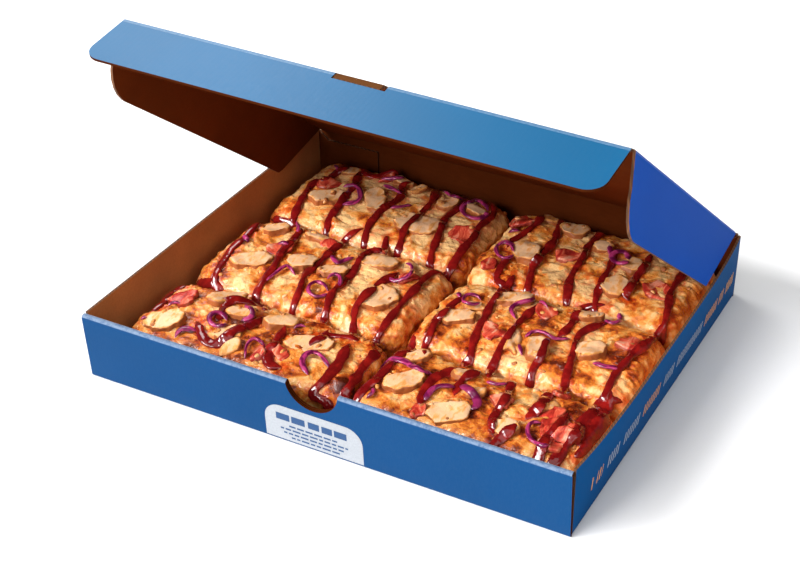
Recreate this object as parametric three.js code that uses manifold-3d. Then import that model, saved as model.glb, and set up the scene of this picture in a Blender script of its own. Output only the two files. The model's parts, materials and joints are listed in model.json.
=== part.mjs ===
// A sheet pizza cut into six rectangular slices, in its open folding card box.
// Millimetres, +Z up, +X to the right, the front of the box faces -Y.
// The origin is the middle of the underside of the box.
import * as THREE from 'three';
import { mergeVertices } from 'three/addons/utils/BufferGeometryUtils.js';
import Module from 'manifold-3d';

const wasm = await Module();
wasm.setup();

// ---- driving sizes of the box -------------------------------------------
const board = 1.6;            // thickness of the corrugated card
const gap = 0.35;             // air left between neighbouring pieces
const boxWidth = 320;
const boxDepth = 270;
const boxHeight = 46;
const halfWidth = boxWidth / 2;
const halfDepth = boxDepth / 2;

const frontLean = 2;          // how far the front wall tips outward at its top
const frontRollWidth = 3.7;   // width of the rolled-over top of the front wall
const rollEndGap = 0.4;       // the roll stops this far inside the outer panel's ends
const weld = 0.5;             // overlap that makes two touching panels one solid
const innerPanelFoot = 4;     // from the front of the base to the inner panel's foot
const sideWallStart = 2.4;    // gap at the front corners, where the roll is open
const spineWidth = 6;         // strip between the two creases over the rear wall
const spineTopDrop = 1.9;     // the strip ends this far below the lid's crease
const cornerFlapWidth = 50;   // glued flaps inside the rear wall
const rightWallBow = 4.5;     // the right wall bulges outward at its top
const bowFlatness = 3.5;      // a high power keeps the bulge long and even

const notchRadius = 17.2;     // thumb notch in the front wall
const notchCentreHeight = 47.2;
const notchCutterLength = 20; // long enough to pass through both front panels

// ---- driving sizes of the lid -------------------------------------------
const lidAngle = 38;          // degrees above the closed lid
const lidLength = 262.5;      // from the rear crease to the front crease
const lidHalfWidth = 157.8;
const lidStart = 1.5;         // the panel starts this far from the rear crease
const lidTrim = 0.2;          // the panel stays this far inside its creases
const frontFold = 46;         // degrees between the lid's plane and the front flap
const frontFlapDepth = 41;
const frontFlapHalfWidth = 155.8;
const frontFlapCorner = 11;
const frontFlapStart = 2.2;
const sideFlapDepth = 43;
const sideFlapStart = 1.9;
// the slanted rear edges of the side flaps, at the crease and at the low edge
const sideFlapRear = { left: [4, 40], right: [7, 58] };
const sideFlapRearCut = { along: 4, up: 3 }; // small cut at the rear end of the low edge
const sideFlapFront = 261.5;
const sideFlapCorner = 24;
const rightFlapSplay = 6;     // degrees that the right flap stands off square
const tongue = { left: -15, right: 14, length: 4.6 };
const slot = { left: -15.8, right: 17.2, depth: 5.4 };

// ---- driving sizes of the food ------------------------------------------
const foodBase = board + 0.3;
// crust outline from the underside to the crown: inset from the rim, height
const crustProfile = [
  [4, 0], [0.6, 4], [0, 10], [0.7, 17.5], [2.6, 23], [6.8, 26.4], [20, 28.2],
];
const crownStart = 20;        // inset where the crown begins
const crownEnd = 42;          // inset that stands for the middle of the crown
const crownHeight = 28.8;
const outlinePower = 8;       // squareness of a slice seen from above
const sliceSegments = 32;
const sideRings = 3;          // lowest rings of a slice, which stay free of lumps
const searchSteps = 24;       // halvings that find the outline through a point
const lumpHeight = 0.9;
const lumpWaves = { x: [9, 31], y: [23, 8] }; // lengths of the crossing waves

const slices = {
  slice_back_left: { x: [-148, 2], y: [38, 128] },
  slice_middle_left: { x: [-148, 4], y: [-49, 36] },
  slice_front_left: { x: [-148, 6], y: [-118.6, -52] },
  slice_back_right: { x: [6, 152], y: [35, 128] },
  slice_middle_right: { x: [8, 153], y: [-48, 33] },
  slice_front_right: { x: [10, 153], y: [-118.6, -51] },
};

// toppings: middle x and y, turn of the long side in degrees, length, width
const chicken = {
  slice_back_left: [
    [-121, 111, 34, 16, 12], [-116, 71, 42, 26, 16], [-84, 82, -61, 33, 15],
    [-80, 115, -11, 18, 10], [-44, 69, 7, 34, 24], [-38, 102, 50, 18, 12],
    [-17, 101, -11, 17, 11],
  ],
  slice_middle_left: [
    [-124, 20, 44, 20, 12], [-117, -21, 31, 27, 17], [-86, -9, 31, 21, 17],
    [-63, -8, 31, 20, 11], [-94, 23, 19, 18, 8], [-43, 15, 20, 28, 14],
    [-23, -21, 60, 27, 22],
  ],
  slice_front_left: [
    [-108, -63, 49, 26, 14], [-89, -75, 20, 18, 11], [-126, -101, 34, 25, 18],
    [-84, -96, 46, 18, 14], [-62, -72, 31, 22, 12], [-35, -83, 24, 32, 15],
  ],
  slice_back_right: [
    [36, 71, -60, 27, 18], [52, 111, 15, 21, 16], [79, 99, 28, 14, 12],
    [104, 87, 60, 18, 15], [104, 60, -17, 20, 20],
  ],
  slice_middle_right: [
    [31, -17, 38, 24, 13], [51, 17, 35, 32, 13], [103, 22, 36, 17, 10],
    [88, -25, -72, 24, 13], [117, -12, 37, 21, 15],
  ],
  slice_front_right: [
    [28, -64, 47, 16, 11], [34, -90, 49, 26, 16], [62, -67, 20, 17, 9],
    [70, -103, 34, 28, 17], [104, -101, 44, 16, 12],
  ],
};
const bacon = {
  slice_back_left: [[-124, 89, 28, 21, 10], [-12, 73, 40, 19, 22]],
  slice_middle_left: [[-108, 1, 42, 19, 16], [-18, 8, 37, 15, 12]],
  slice_front_left: [[-130, -77, 28, 18, 16]],
  slice_back_right: [[18, 107, 38, 22, 18], [62, 80, 34, 20, 14], [128, 70, 36, 18, 19]],
  slice_middle_right: [[56, -20, 35, 15, 22], [76, 14, 40, 15, 17], [135, 6, 32, 17, 15]],
  slice_front_right: [[92, -82, 37, 13, 13], [130, -88, 35, 22, 20]],
};
const chickenThickness = 6;
const chickenSink = 1.6;      // how deep a piece sits in the cheese
const baconThickness = 3;
const baconSink = 0.8;
const pocketHeadroom = 8;     // the cutter of a pocket stands this far over its piece
const slopeReach = 4;         // distance over which a piece follows the slope under it
// corners of a cut of chicken, as shares of half its length and half its width
const chickenCorners = [
  [1, 0.25], [0.72, -0.75], [0.1, -1], [-0.66, -0.82], [-1, 0.15], [-0.62, 1], [0.68, 0.92],
];
const baconCorners = 10;
const baconWaves = [{ count: 3, height: 0.16 }, { count: 5, height: 0.1 }];

const cardRoughness = 0.8;
const toppingRoughness = 0.6;
const crustRoughness = 0.7;
const mergeTolerance = 1e-4;
const cornerSegments = 8;
const notchSegments = 32;

const colours = {
  boardPrinted: 0x2f63a8, boardPlain: 0x8a5a34, crust: 0xd9a763,
  chicken: 0xf0d8aa, bacon: 0xc8574a,
};

// ---- solids: closed meshes joined and cut -------------------------------
function plain(geometry) {
  const copy = geometry.clone();
  for (const name of ['normal', 'uv']) copy.deleteAttribute(name);
  return mergeVertices(copy, mergeTolerance);
}

function toSolid(geometry) {
  const merged = plain(geometry);
  return new wasm.Manifold(new wasm.Mesh({
    numProp: 3,
    vertProperties: new Float32Array(merged.attributes.position.array),
    triVerts: new Uint32Array(merged.index.array),
  }));
}

function toGeometry(solid) {
  const mesh = solid.getMesh();
  const geometry = new THREE.BufferGeometry();
  geometry.setAttribute('position', new THREE.BufferAttribute(new Float32Array(mesh.vertProperties), 3));
  geometry.setIndex(new THREE.BufferAttribute(new Uint32Array(mesh.triVerts), 1));
  geometry.computeVertexNormals();
  return geometry;
}

function joined(solids) {
  return solids.reduce((sum, solid) => sum.add(solid));
}

function block(x, y, z, parts = [1, 1, 1]) {
  const geometry = new THREE.BoxGeometry(x[1] - x[0], y[1] - y[0], z[1] - z[0], ...parts);
  return geometry.translate((x[0] + x[1]) / 2, (y[0] + y[1]) / 2, (z[0] + z[1]) / 2);
}

function extruded(shape, depth, curveSegments = cornerSegments) {
  return new THREE.ExtrudeGeometry(shape, { depth, bevelEnabled: false, curveSegments });
}

function named(name, geometry, colour, roughness = cardRoughness) {
  const material = new THREE.MeshStandardMaterial({ color: colour, roughness, metalness: 0 });
  const mesh = new THREE.Mesh(geometry, material);
  mesh.name = name;
  return mesh;
}

// ---- the tray ------------------------------------------------------------
// a YZ profile swept along X
function alongX(points, xStart, xEnd) {
  const shape = new THREE.Shape(points.map(([y, z]) => new THREE.Vector2(y, z)));
  const geometry = extruded(shape, xEnd - xStart);
  geometry.rotateX(Math.PI / 2).rotateZ(Math.PI / 2);
  return geometry.translate(xStart, 0, 0);
}

function frontWall() {
  const foot = -halfDepth;
  const top = -halfDepth - frontLean;
  const lip = top + frontRollWidth;
  const innerFoot = foot + innerPanelFoot;
  const under = boxHeight - board;
  const outer = alongX(
    [[foot, 0], [foot + board, 0], [top + board, under], [top + board, boxHeight], [top, boxHeight]],
    -halfWidth, halfWidth,
  );
  const rollEnd = halfWidth - rollEndGap;
  const rollStart = top + weld;
  const roll = alongX(
    [[rollStart, under], [lip, under], [lip, boxHeight], [rollStart, boxHeight]],
    -rollEnd, rollEnd,
  );
  const innerEnd = halfWidth - board - gap;
  const inner = alongX(
    [
      [innerFoot - board, board / 2], [innerFoot, board / 2],
      [lip, boxHeight - weld], [lip - board, boxHeight - weld],
    ],
    -innerEnd, innerEnd,
  );
  return joined([outer, roll, inner].map(toSolid));
}

function bowedRightWall() {
  const geometry = block(
    [halfWidth - board, halfWidth], [-halfDepth + sideWallStart, halfDepth], [0, boxHeight], [1, 16, 3],
  );
  const at = geometry.attributes.position;
  for (let i = 0; i < at.count; i += 1) {
    const along = at.getY(i) / halfDepth;
    const bow = rightWallBow * (1 - Math.abs(along) ** bowFlatness) * (at.getZ(i) / boxHeight);
    at.setX(i, at.getX(i) + bow);
  }
  return geometry;
}

function tray() {
  const rearTop = boxHeight - spineWidth - gap;
  const rearInner = halfDepth - board;
  const pieces = [
    block([-halfWidth, halfWidth], [-halfDepth, halfDepth], [0, board]),
    block([-halfWidth, -halfWidth + board], [-halfDepth + sideWallStart, halfDepth], [0, boxHeight]),
    bowedRightWall(),
    block([-halfWidth, halfWidth], [rearInner, halfDepth], [0, rearTop]),
  ];
  const flapInner = rearInner - board;
  const flapEnd = halfWidth - board / 2;
  for (const side of [-1, 1]) {
    const reach = [side * flapEnd, side * (flapEnd - cornerFlapWidth)].sort((a, b) => a - b);
    pieces.push(block(reach, [flapInner, rearInner + board / 2], [board / 2, rearTop - gap]));
  }
  const notch = new THREE.CylinderGeometry(notchRadius, notchRadius, notchCutterLength, notchSegments);
  notch.translate(0, -halfDepth, notchCentreHeight);
  const body = joined(pieces.map(toSolid)).add(frontWall());
  return toGeometry(body.subtract(toSolid(notch)));
}

// ---- the lid, in its own frame: it runs along -Y from the crease, outer face up
function lidPanel() {
  const half = lidHalfWidth - lidTrim;
  const front = -lidLength + lidTrim;
  const panel = block([-half, half], [front, -lidStart], [-board, 0]);
  const tab = block([tongue.left, tongue.right], [-tongue.length, 2 * weld], [-board, 0]);
  tab.rotateX(THREE.MathUtils.degToRad(frontFold)).translate(0, -lidLength, 0);
  return toGeometry(toSolid(panel).add(toSolid(tab)));
}

function frontFlap() {
  const half = frontFlapHalfWidth;
  const low = -frontFlapDepth;
  const corner = frontFlapCorner;
  const shape = new THREE.Shape();
  shape.moveTo(-half, -frontFlapStart);
  shape.lineTo(-half, low + corner);
  shape.absarc(-half + corner, low + corner, corner, Math.PI, Math.PI * 1.5, false);
  shape.lineTo(half - corner, low);
  shape.absarc(half - corner, low + corner, corner, -Math.PI / 2, 0, false);
  shape.lineTo(half, -frontFlapStart);
  shape.lineTo(slot.right, -frontFlapStart);
  shape.lineTo(slot.right, -slot.depth);
  shape.lineTo(slot.left, -slot.depth);
  shape.lineTo(slot.left, -frontFlapStart);
  return toGeometry(toSolid(extruded(shape, board).translate(0, 0, -board)));
}

// the side flap stands in the YZ plane, its outer face at x = 0, on the side given
function sideFlap(side) {
  const [rearTop, rearLow] = side > 0 ? sideFlapRear.right : sideFlapRear.left;
  const corner = sideFlapCorner;
  const shape = new THREE.Shape();
  shape.moveTo(-rearTop, -sideFlapStart);
  shape.lineTo(-rearLow, -sideFlapDepth + sideFlapRearCut.up);
  shape.lineTo(-rearLow - sideFlapRearCut.along, -sideFlapDepth);
  shape.lineTo(-sideFlapFront + corner, -sideFlapDepth);
  shape.absarc(-sideFlapFront + corner, -sideFlapDepth + corner, corner, -Math.PI / 2, -Math.PI, true);
  shape.lineTo(-sideFlapFront, -sideFlapStart);
  const geometry = extruded(shape, board);
  geometry.rotateX(Math.PI / 2).rotateZ(Math.PI / 2);
  geometry.translate(side > 0 ? -board : 0, 0, 0);
  return toGeometry(toSolid(geometry));
}

// ---- the food ------------------------------------------------------------
function sliceFrame({ x, y }) {
  return {
    cx: (x[0] + x[1]) / 2, cy: (y[0] + y[1]) / 2,
    a: (x[1] - x[0]) / 2, b: (y[1] - y[0]) / 2,
  };
}

// half sizes of the slice's outline at an inset from its rim
function halfSizes(frame, inset) {
  const edge = Math.min(inset, crownStart);
  const left = 1 - Math.max(0, inset - crownStart) / (crownEnd - crownStart);
  return [(frame.a - edge) * left, (frame.b - edge) * left];
}

function lump(x, y) {
  const acrossWave = Math.sin(x / lumpWaves.x[0] + y / lumpWaves.y[0]);
  const alongWave = Math.cos(y / lumpWaves.y[1] - x / lumpWaves.x[1]);
  return lumpHeight * (acrossWave + alongWave) / 2;
}

function profileHeight(inset) {
  const rising = [...crustProfile.slice(2), [crownEnd, crownHeight]];
  for (let i = 1; i < rising.length; i += 1) {
    const [from, low] = rising[i - 1];
    const [to, high] = rising[i];
    if (inset <= to) return low + (high - low) * ((inset - from) / (to - from));
  }
  return crownHeight;
}

// height of a slice's top at a point, found from the outline that runs through it
function topHeight(frame, x, y) {
  let near = 0;
  let far = crownEnd;
  for (let step = 0; step < searchSteps; step += 1) {
    const inset = (near + far) / 2;
    const [a, b] = halfSizes(frame, inset);
    const shareX = Math.abs((x - frame.cx) / a) ** outlinePower;
    const shareY = Math.abs((y - frame.cy) / b) ** outlinePower;
    if (shareX + shareY < 1) near = inset;
    else far = inset;
  }
  return foodBase + profileHeight(near) + lump(x, y);
}

// a sphere's rings and meridians, moved onto the outlines of the slice
function sliceBody(frame) {
  const levels = [...crustProfile].reverse();
  levels.unshift([(crownStart + crownEnd) / 2, (crownHeight + levels[0][1]) / 2]);
  const rings = levels.length + 1;
  const geometry = plain(new THREE.SphereGeometry(1, sliceSegments, rings));
  const at = geometry.attributes.position;
  for (let i = 0; i < at.count; i += 1) {
    const ring = Math.round(Math.acos(THREE.MathUtils.clamp(at.getY(i), -1, 1)) / Math.PI * rings);
    if (ring === 0) {
      at.setXYZ(i, frame.cx, frame.cy, foodBase + crownHeight);
    } else if (ring === rings) {
      at.setXYZ(i, frame.cx, frame.cy, foodBase);
    } else {
      const [inset, height] = levels[ring - 1];
      const [a, b] = halfSizes(frame, inset);
      const turn = Math.atan2(-at.getZ(i), at.getX(i));
      const radius = (Math.abs(Math.cos(turn)) ** outlinePower + Math.abs(Math.sin(turn)) ** outlinePower)
        ** (-1 / outlinePower);
      const x = frame.cx + a * radius * Math.cos(turn);
      const y = frame.cy + b * radius * Math.sin(turn);
      const upper = ring <= rings - sideRings ? lump(x, y) : 0;
      at.setXYZ(i, x, y, foodBase + height + upper);
    }
  }
  return geometry;
}

// outline of a cut of chicken: straight cuts with a flat back
function chickenOutline(length, width, grow) {
  const a = length / 2 + grow;
  const b = width / 2 + grow;
  return new THREE.Shape([...chickenCorners].reverse().map(([u, v]) => new THREE.Vector2(a * u, b * v)));
}

// outline of a scrap of bacon: a wavy edge
function baconOutline(length, width, grow) {
  const points = [];
  const [broad, fine] = baconWaves;
  for (let i = 0; i < baconCorners; i += 1) {
    const turn = 2 * Math.PI * (i / baconCorners);
    const swell = broad.height * Math.sin(broad.count * turn + length)
      + fine.height * Math.cos(fine.count * turn + width);
    const x = (length / 2 * (1 + swell) + grow) * Math.cos(turn);
    const y = (width / 2 * (1 + swell) + grow) * Math.sin(turn);
    points.push(new THREE.Vector2(x, y));
  }
  return new THREE.Shape(points);
}

// moves a flat outline's solid onto the slice, lying along its surface
function seat(geometry, frame, [x, y, turn], sink) {
  const reach = slopeReach;
  const here = topHeight(frame, x, y);
  const slopeX = (topHeight(frame, x + reach, y) - topHeight(frame, x - reach, y)) / (2 * reach);
  const slopeY = (topHeight(frame, x, y + reach) - topHeight(frame, x, y - reach)) / (2 * reach);
  const up = new THREE.Vector3(-slopeX, -slopeY, 1).normalize();
  const tilt = new THREE.Quaternion().setFromUnitVectors(new THREE.Vector3(0, 0, 1), up);
  geometry.rotateZ(THREE.MathUtils.degToRad(turn));
  geometry.applyQuaternion(tilt);
  geometry.translate(x - up.x * sink, y - up.y * sink, here - up.z * sink);
  return geometry;
}

function topping(kind, frame, place) {
  const [, , , length, width] = place;
  const isChicken = kind === 'chicken';
  const outline = isChicken ? chickenOutline : baconOutline;
  const thickness = isChicken ? chickenThickness : baconThickness;
  const sink = isChicken ? chickenSink : baconSink;
  const body = seat(extruded(outline(length, width, 0), thickness), frame, place, sink);
  const cutter = extruded(outline(length, width, gap), thickness + pocketHeadroom).translate(0, 0, -gap);
  return { body, cutter: seat(cutter, frame, place, sink) };
}

function foodPieces() {
  const meshes = [];
  const counts = { chicken: 0, bacon: 0 };
  for (const [name, area] of Object.entries(slices)) {
    const frame = sliceFrame(area);
    let body = toSolid(sliceBody(frame));
    for (const [kind, places] of [['chicken', chicken[name]], ['bacon', bacon[name]]]) {
      for (const place of places) {
        counts[kind] += 1;
        const piece = topping(kind, frame, place);
        body = body.subtract(toSolid(piece.cutter));
        const label = `${kind}_${String(counts[kind]).padStart(2, '0')}`;
        meshes.push(named(label, toGeometry(toSolid(piece.body)), colours[kind], toppingRoughness));
      }
    }
    meshes.push(named(name, toGeometry(body), colours.crust, crustRoughness));
  }
  return meshes;
}

// ---- the whole -----------------------------------------------------------
const pizzaInBox = new THREE.Group();
pizzaInBox.add(named('tray', tray(), colours.boardPrinted));
pizzaInBox.add(...foodPieces());

const spine = block(
  [-lidHalfWidth, lidHalfWidth],
  [halfDepth - board, halfDepth],
  [boxHeight - spineWidth + gap, boxHeight - spineTopDrop],
);
pizzaInBox.add(named('spine', toGeometry(toSolid(spine)), colours.boardPrinted));

const lid = new THREE.Group();
lid.position.set(0, halfDepth, boxHeight);
lid.rotation.x = -THREE.MathUtils.degToRad(lidAngle);
lid.add(named('lid_panel', lidPanel(), colours.boardPrinted));

const frontFlapMesh = named('front_flap', frontFlap(), colours.boardPrinted);
frontFlapMesh.position.set(0, -lidLength, 0);
frontFlapMesh.rotation.x = THREE.MathUtils.degToRad(frontFold);
lid.add(frontFlapMesh);

for (const [side, name, splay] of [[-1, 'side_flap_left', 0], [1, 'side_flap_right', rightFlapSplay]]) {
  const flap = named(name, sideFlap(side), colours.boardPlain);
  flap.position.set(side * lidHalfWidth, 0, 0);
  flap.rotation.y = -side * THREE.MathUtils.degToRad(splay);
  lid.add(flap);
}
pizzaInBox.add(lid);

export default pizzaInBox;
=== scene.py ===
"""A sheet pizza, cut into six slices, in its open folding card box."""

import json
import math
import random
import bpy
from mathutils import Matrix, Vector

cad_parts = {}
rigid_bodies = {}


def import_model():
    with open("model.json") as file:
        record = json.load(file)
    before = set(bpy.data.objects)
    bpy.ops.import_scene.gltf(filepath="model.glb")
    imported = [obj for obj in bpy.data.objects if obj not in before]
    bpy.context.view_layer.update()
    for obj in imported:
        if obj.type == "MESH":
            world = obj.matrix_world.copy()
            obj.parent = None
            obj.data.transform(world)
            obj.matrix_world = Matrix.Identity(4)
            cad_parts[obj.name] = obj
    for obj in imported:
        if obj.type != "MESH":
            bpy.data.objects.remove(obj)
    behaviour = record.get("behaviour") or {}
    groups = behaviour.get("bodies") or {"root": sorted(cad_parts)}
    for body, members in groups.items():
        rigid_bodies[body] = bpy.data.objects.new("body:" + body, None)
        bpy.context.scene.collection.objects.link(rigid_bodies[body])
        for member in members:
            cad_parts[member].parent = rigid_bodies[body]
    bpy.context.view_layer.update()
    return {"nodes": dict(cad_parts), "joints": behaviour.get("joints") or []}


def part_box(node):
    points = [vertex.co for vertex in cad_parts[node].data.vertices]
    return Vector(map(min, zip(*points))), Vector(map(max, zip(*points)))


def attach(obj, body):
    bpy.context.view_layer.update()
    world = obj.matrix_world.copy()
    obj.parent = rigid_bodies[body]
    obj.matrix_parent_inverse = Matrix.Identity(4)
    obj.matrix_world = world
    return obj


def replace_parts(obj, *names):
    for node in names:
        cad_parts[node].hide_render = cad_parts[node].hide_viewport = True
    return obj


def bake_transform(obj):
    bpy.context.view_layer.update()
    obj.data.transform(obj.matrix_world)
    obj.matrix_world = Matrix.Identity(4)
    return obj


bl_info = {
    "name": "Sheet pizza in its box",
    "version": (1, 0, 0),
    "blender": (4, 5, 0),
    "location": "View3D > Sidebar > Pizza",
    "description": "Builds a boxed sheet pizza around its packed solid model",
    "category": "Add Mesh",
}

import bmesh
import bpy
from bpy.props import FloatProperty, FloatVectorProperty, PointerProperty
from mathutils import Matrix, Vector, noise
from mathutils.bvhtree import BVHTree
from mathutils.kdtree import KDTree

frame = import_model()

MM = 0.001
# Points of the card or the crust closer than this are one; HAIR is for finer seams.
SAME_PLACE = 1e-6
HAIR = 1e-7
UP = Vector((0, 0, 1))
JOINTS = {joint["name"]: joint for joint in frame["joints"]}

# ---- the box, read from the frame ---------------------------------------
TRAY_LOW, TRAY_HIGH = (Vector(corner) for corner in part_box("tray"))
HALF_WIDTH = -TRAY_LOW.x
HALF_DEPTH = TRAY_HIGH.y
HEIGHT = TRAY_HIGH.z
FRONT_LEAN = -TRAY_LOW.y - HALF_DEPTH
RIGHT_BOW = TRAY_HIGH.x - HALF_WIDTH
# The higher, the more evenly the right wall bulges along its length.
BOW_FLATNESS = 3.5

LOWER_CREASE = Vector(JOINTS["lid_opening"]["pos_m"])
HINGE = Vector(JOINTS["lid_closing"]["pos_m"])
FOLD = Vector(JOINTS["front_flap_fold"]["pos_m"])
LID_LENGTH = (FOLD - HINGE).length
LID_ALONG = (FOLD - HINGE).normalized()
LID_INWARD = Vector((0, -LID_ALONG.z, LID_ALONG.y))
LID_HALF_WIDTH = JOINTS["side_flap_right_fold"]["pos_m"][0]
# How far the lid's left front corner stands proud, and how far the whole front edge sags.
LID_TWIST = 4.4 * MM
LID_SAG = 0.8 * MM
FRONT_FOLD = math.radians(46)
FLAP_ALONG = LID_ALONG * math.cos(FRONT_FOLD) + LID_INWARD * math.sin(FRONT_FOLD)
FLAP_INWARD = LID_INWARD * math.cos(FRONT_FOLD) - LID_ALONG * math.sin(FRONT_FOLD)
RIGHT_SPLAY = math.radians(6)

# ---- card sizes ----------------------------------------------------------
BOARD = 1.6 * MM
FOOT_RADIUS = 1.8 * MM
ROLL_RADIUS = 1.7 * MM
ROLL_WIDTH = 3.7 * MM
ROLL_HALF = HALF_WIDTH - 0.4 * MM
INNER_PANEL_GAP = 0.2 * MM
INNER_PANEL_FOOT = 4.0 * MM
INNER_PANEL_HALF = HALF_WIDTH - 2.2 * MM
SIDE_WALL_START = 2.4 * MM
CORNER_FLAP_WIDTH = 50 * MM
CORNER_SLOPE = 9 * MM
CORNER_RADIUS = 1.4 * MM
CORNER_DROP = 0.6 * MM
NOTCH_RADIUS = 17.2 * MM
NOTCH_CENTRE = 47.2 * MM
CREASE_REACH = 1.5 * MM
FOLD_RADIUS = 1.8 * MM
# Where the flat card ends before the front crease and before the rear one.
FOLD_ROOM = 2.6 * MM
HINGE_ROOM = 1.7 * MM
HINGE_RADIUS = 1.2 * MM
SIDE_FOLD_RADIUS = 1.6 * MM
SIDE_CREASE_RADIUS = SIDE_FOLD_RADIUS * 0.96
FLAP_DEPTH = 41 * MM
FLAP_HALF_WIDTH = 155.8 * MM
FLAP_CORNER = 11 * MM
SIDE_FLAP_DEPTH = 43 * MM
# Where a side flap's slanted rear edge leaves the fold, and where it reaches the free edge.
SIDE_FLAP_REAR_LEFT = (4 * MM, 40 * MM)
SIDE_FLAP_REAR_RIGHT = (7 * MM, 58 * MM)
# The free edge runs straight from here to its front corner.
SIDE_FLAP_STRAIGHT = 85 * MM
SIDE_FLAP_FRONT = 261.5 * MM
SIDE_FLAP_REAR_ROUND = 4 * MM
SIDE_FLAP_REAR_RISE = 3 * MM
SIDE_FLAP_LEAST = 0.3 * MM
SIDE_FLAP_CORNER = 24 * MM
# How far the right flap's front edge draws back, and how much more so near its front.
RIGHT_FLAP_TAPER = 6 * MM
TAPER_POWER = 6
# How worn each fold is, from none (0) to bare (1); the front wall's roll is bare from so far
# behind its middle, and scuffed in front of that. On the roll this pale colour is partly worn ink and
# partly a painted highlight along its top.
ROLL_WEAR_AND_HIGHLIGHT = 1.0
ROLL_PALE_START = 0.6 * MM
ROLL_SCUFF_AND_HIGHLIGHT = 0.25
LOWER_WEAR = 0.6
UPPER_WEAR = 0.4
FRONT_WEAR = 0.15
SIDE_WEAR = 0.1
TONGUE = (-15 * MM, 14 * MM)
TONGUE_LENGTH = 4.6 * MM
SLOT = (-15.8 * MM, 17.2 * MM)
SLOT_DEPTH = 5.4 * MM
SLOT_WALL = 0.01 * MM
# Folds and sheets that lie inside one another keep this much between them.
PAPER_GAP = 0.1 * MM
CORNER_GAP = 0.3 * MM
SIDE_WALL_END = HALF_DEPTH - 2 * BOARD - CORNER_GAP

# ---- print sizes -----------------------------------------------------------
# How far a field and the row of dashes stand proud of the wall; bars on the field are twice that.
PROUD = 0.08 * MM
LABEL_SIDES = (-33.3 * MM, 31.8 * MM)
LABEL_TOP = 26.5 * MM
LABEL_CORNER = 11 * MM
LABEL_SHOULDER = 15 * MM
# The label's bars, in millimetres: the heading's starts and ends along the wall, and its
# height; then each row of dashes by its start, end and height.
HEADING_BARS = [(-25.5, -16.5), (-15.2, -6.2), (-4.0, 3.4), (5.0, 12.0), (13.2, 21.5)]
HEADING_LEVELS = (16.2, 21.0)
DASH_ROWS = [(-17, 15, 12.4), (-23, 22, 9.6), (-21, 19, 6.8), (-16, 17, 4.0)]
DASH_HEIGHT = 1.2
DASH_LENGTHS = (2.2, 5.5)
DASH_SPACE = 1.0
# The right wall's dashes, in millimetres: colour, and where a group starts and ends.
WALL_GROUPS = [
    ("orange_print", -111, -93), ("white_print", -89, -70), ("white_print", -66, -41),
    ("orange_print", -37, -9), ("white_print", -4, 14), ("white_print", 18, 63),
    ("orange_print", 67, 90), ("orange_print", 94, 104), ("orange_print", 108, 126),
]
WALL_DASH_LEVELS = (15.5 * MM, 24 * MM)
WALL_DASH_WIDTH = 1.4
WALL_DASH_PITCH = 3.4
WALL_DASH_ROOM = 2
WALL_DASH_SLANT = 0.8 * MM
PALE_DASHES = (0.36, 0.40, 0.46)

# ---- food sizes ----------------------------------------------------------
SLICES = [
    "slice_back_left", "slice_middle_left", "slice_front_left",
    "slice_back_right", "slice_middle_right", "slice_front_right",
]
CHICKEN = sorted(name for name in frame["nodes"] if name.startswith("chicken"))
BACON = sorted(name for name in frame["nodes"] if name.startswith("bacon"))
# How much lighter or darker each slice is painted than the middle right one, as a shift of its toast:
# painted light on the rear slices that the lid shades, and painted shade on the front ones.
SLICE_PAINTED_LIGHT = {
    "slice_back_left": -0.26, "slice_back_right": -0.14, "slice_middle_left": -0.04,
    "slice_front_left": 0.10, "slice_front_right": 0.14,
}
# A slice's section in millimetres, as inset from its outline and height: from the crown down
# to the widest ring, and from there to the foot.
CRUST_TOP = [(42, 28.8), (20, 28.2), (6.8, 26.4), (2.6, 23), (0.7, 17.5), (0, 10)]
CRUST_FOOT = [(0.6, 4), (4, 0)]
# Insets in millimetres between which the rings close up to the middle.
CROWN_START = 20
CROWN_END = 42
# The mesh is finer by this power towards the rim, and its rings are squarer by the other.
RIM_CROWDING = 1.45
OUTLINE_POWER = 8
MESH_STEP = 0.945 * MM
# How much of a slice's mesh goes to its side, and how near the middle its rings are closed.
SIDE_SHARE = 18 * MM
CLOSED_MIDDLE = 0.02
# The crust's side starts below this height and is full so far further down.
CRUST_SIDE_TOP = 21 * MM
CRUST_SIDE_RUN = 14 * MM
# The relief fades out over this height above the foot.
FOOT_FADE = 3 * MM
# The relief of the baked surface: waves for each metre, and heights.
SWELL_WAVES = 42
SWELL_HEIGHT = 1.6 * MM
BLISTER_WAVES = 75
FOLD_WAVES = 105
FOLD_HEIGHT = 2.0 * MM
RIPPLE_WAVES = 260
TOAST_WAVES = 50
# How toasted the middle right slice is on average.
TOAST = 0.36
# How far the relief may pass a slice's box, and how far it stays behind its front face.
RELIEF_ROOM = 0.5 * MM
FRONT_ROOM = 0.6 * MM
# How far the cuts of meat stand above their nodes.
CHICKEN_RAISE = -0.6 * MM
BACON_RAISE = 0.4 * MM
# How far noise moves their sides and their tops.
CHICKEN_ROUGHNESS = (2.8 * MM, 1.6 * MM)
BACON_ROUGHNESS = (2.4 * MM, 3.4 * MM)
CUT_WAVES = 100
CUT_FINE_WAVES = 330
CUT_LIFT_WAVES = 75
CUT_ROUNDING = 0.6 * MM
CUT_FINENESS = 0.65 * MM
# Faces of a node that lie within this angle of one another are one.
FLAT_ANGLE = math.radians(2)
SCRAP_THICKNESS = 1.9 * MM
SCRAP_LIFT = 0.6 * MM
SCRAP_WAVES = 160
SCRAP_LIFT_WAVES = 150
SCRAP_WOBBLE = 0.42
SCRAP_BUMPS = 1.6 * MM
# The lower, the squarer a scrap.
SCRAP_POWER = 0.55
CRUMBS_PER_SLICE = 40
CRUMB_WAVES = 500
CRUMB_WOBBLE = 0.5
# Half lengths of the crumbs, in millimetres.
CRUMB_SIZES = (0.9, 2.3)
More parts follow.
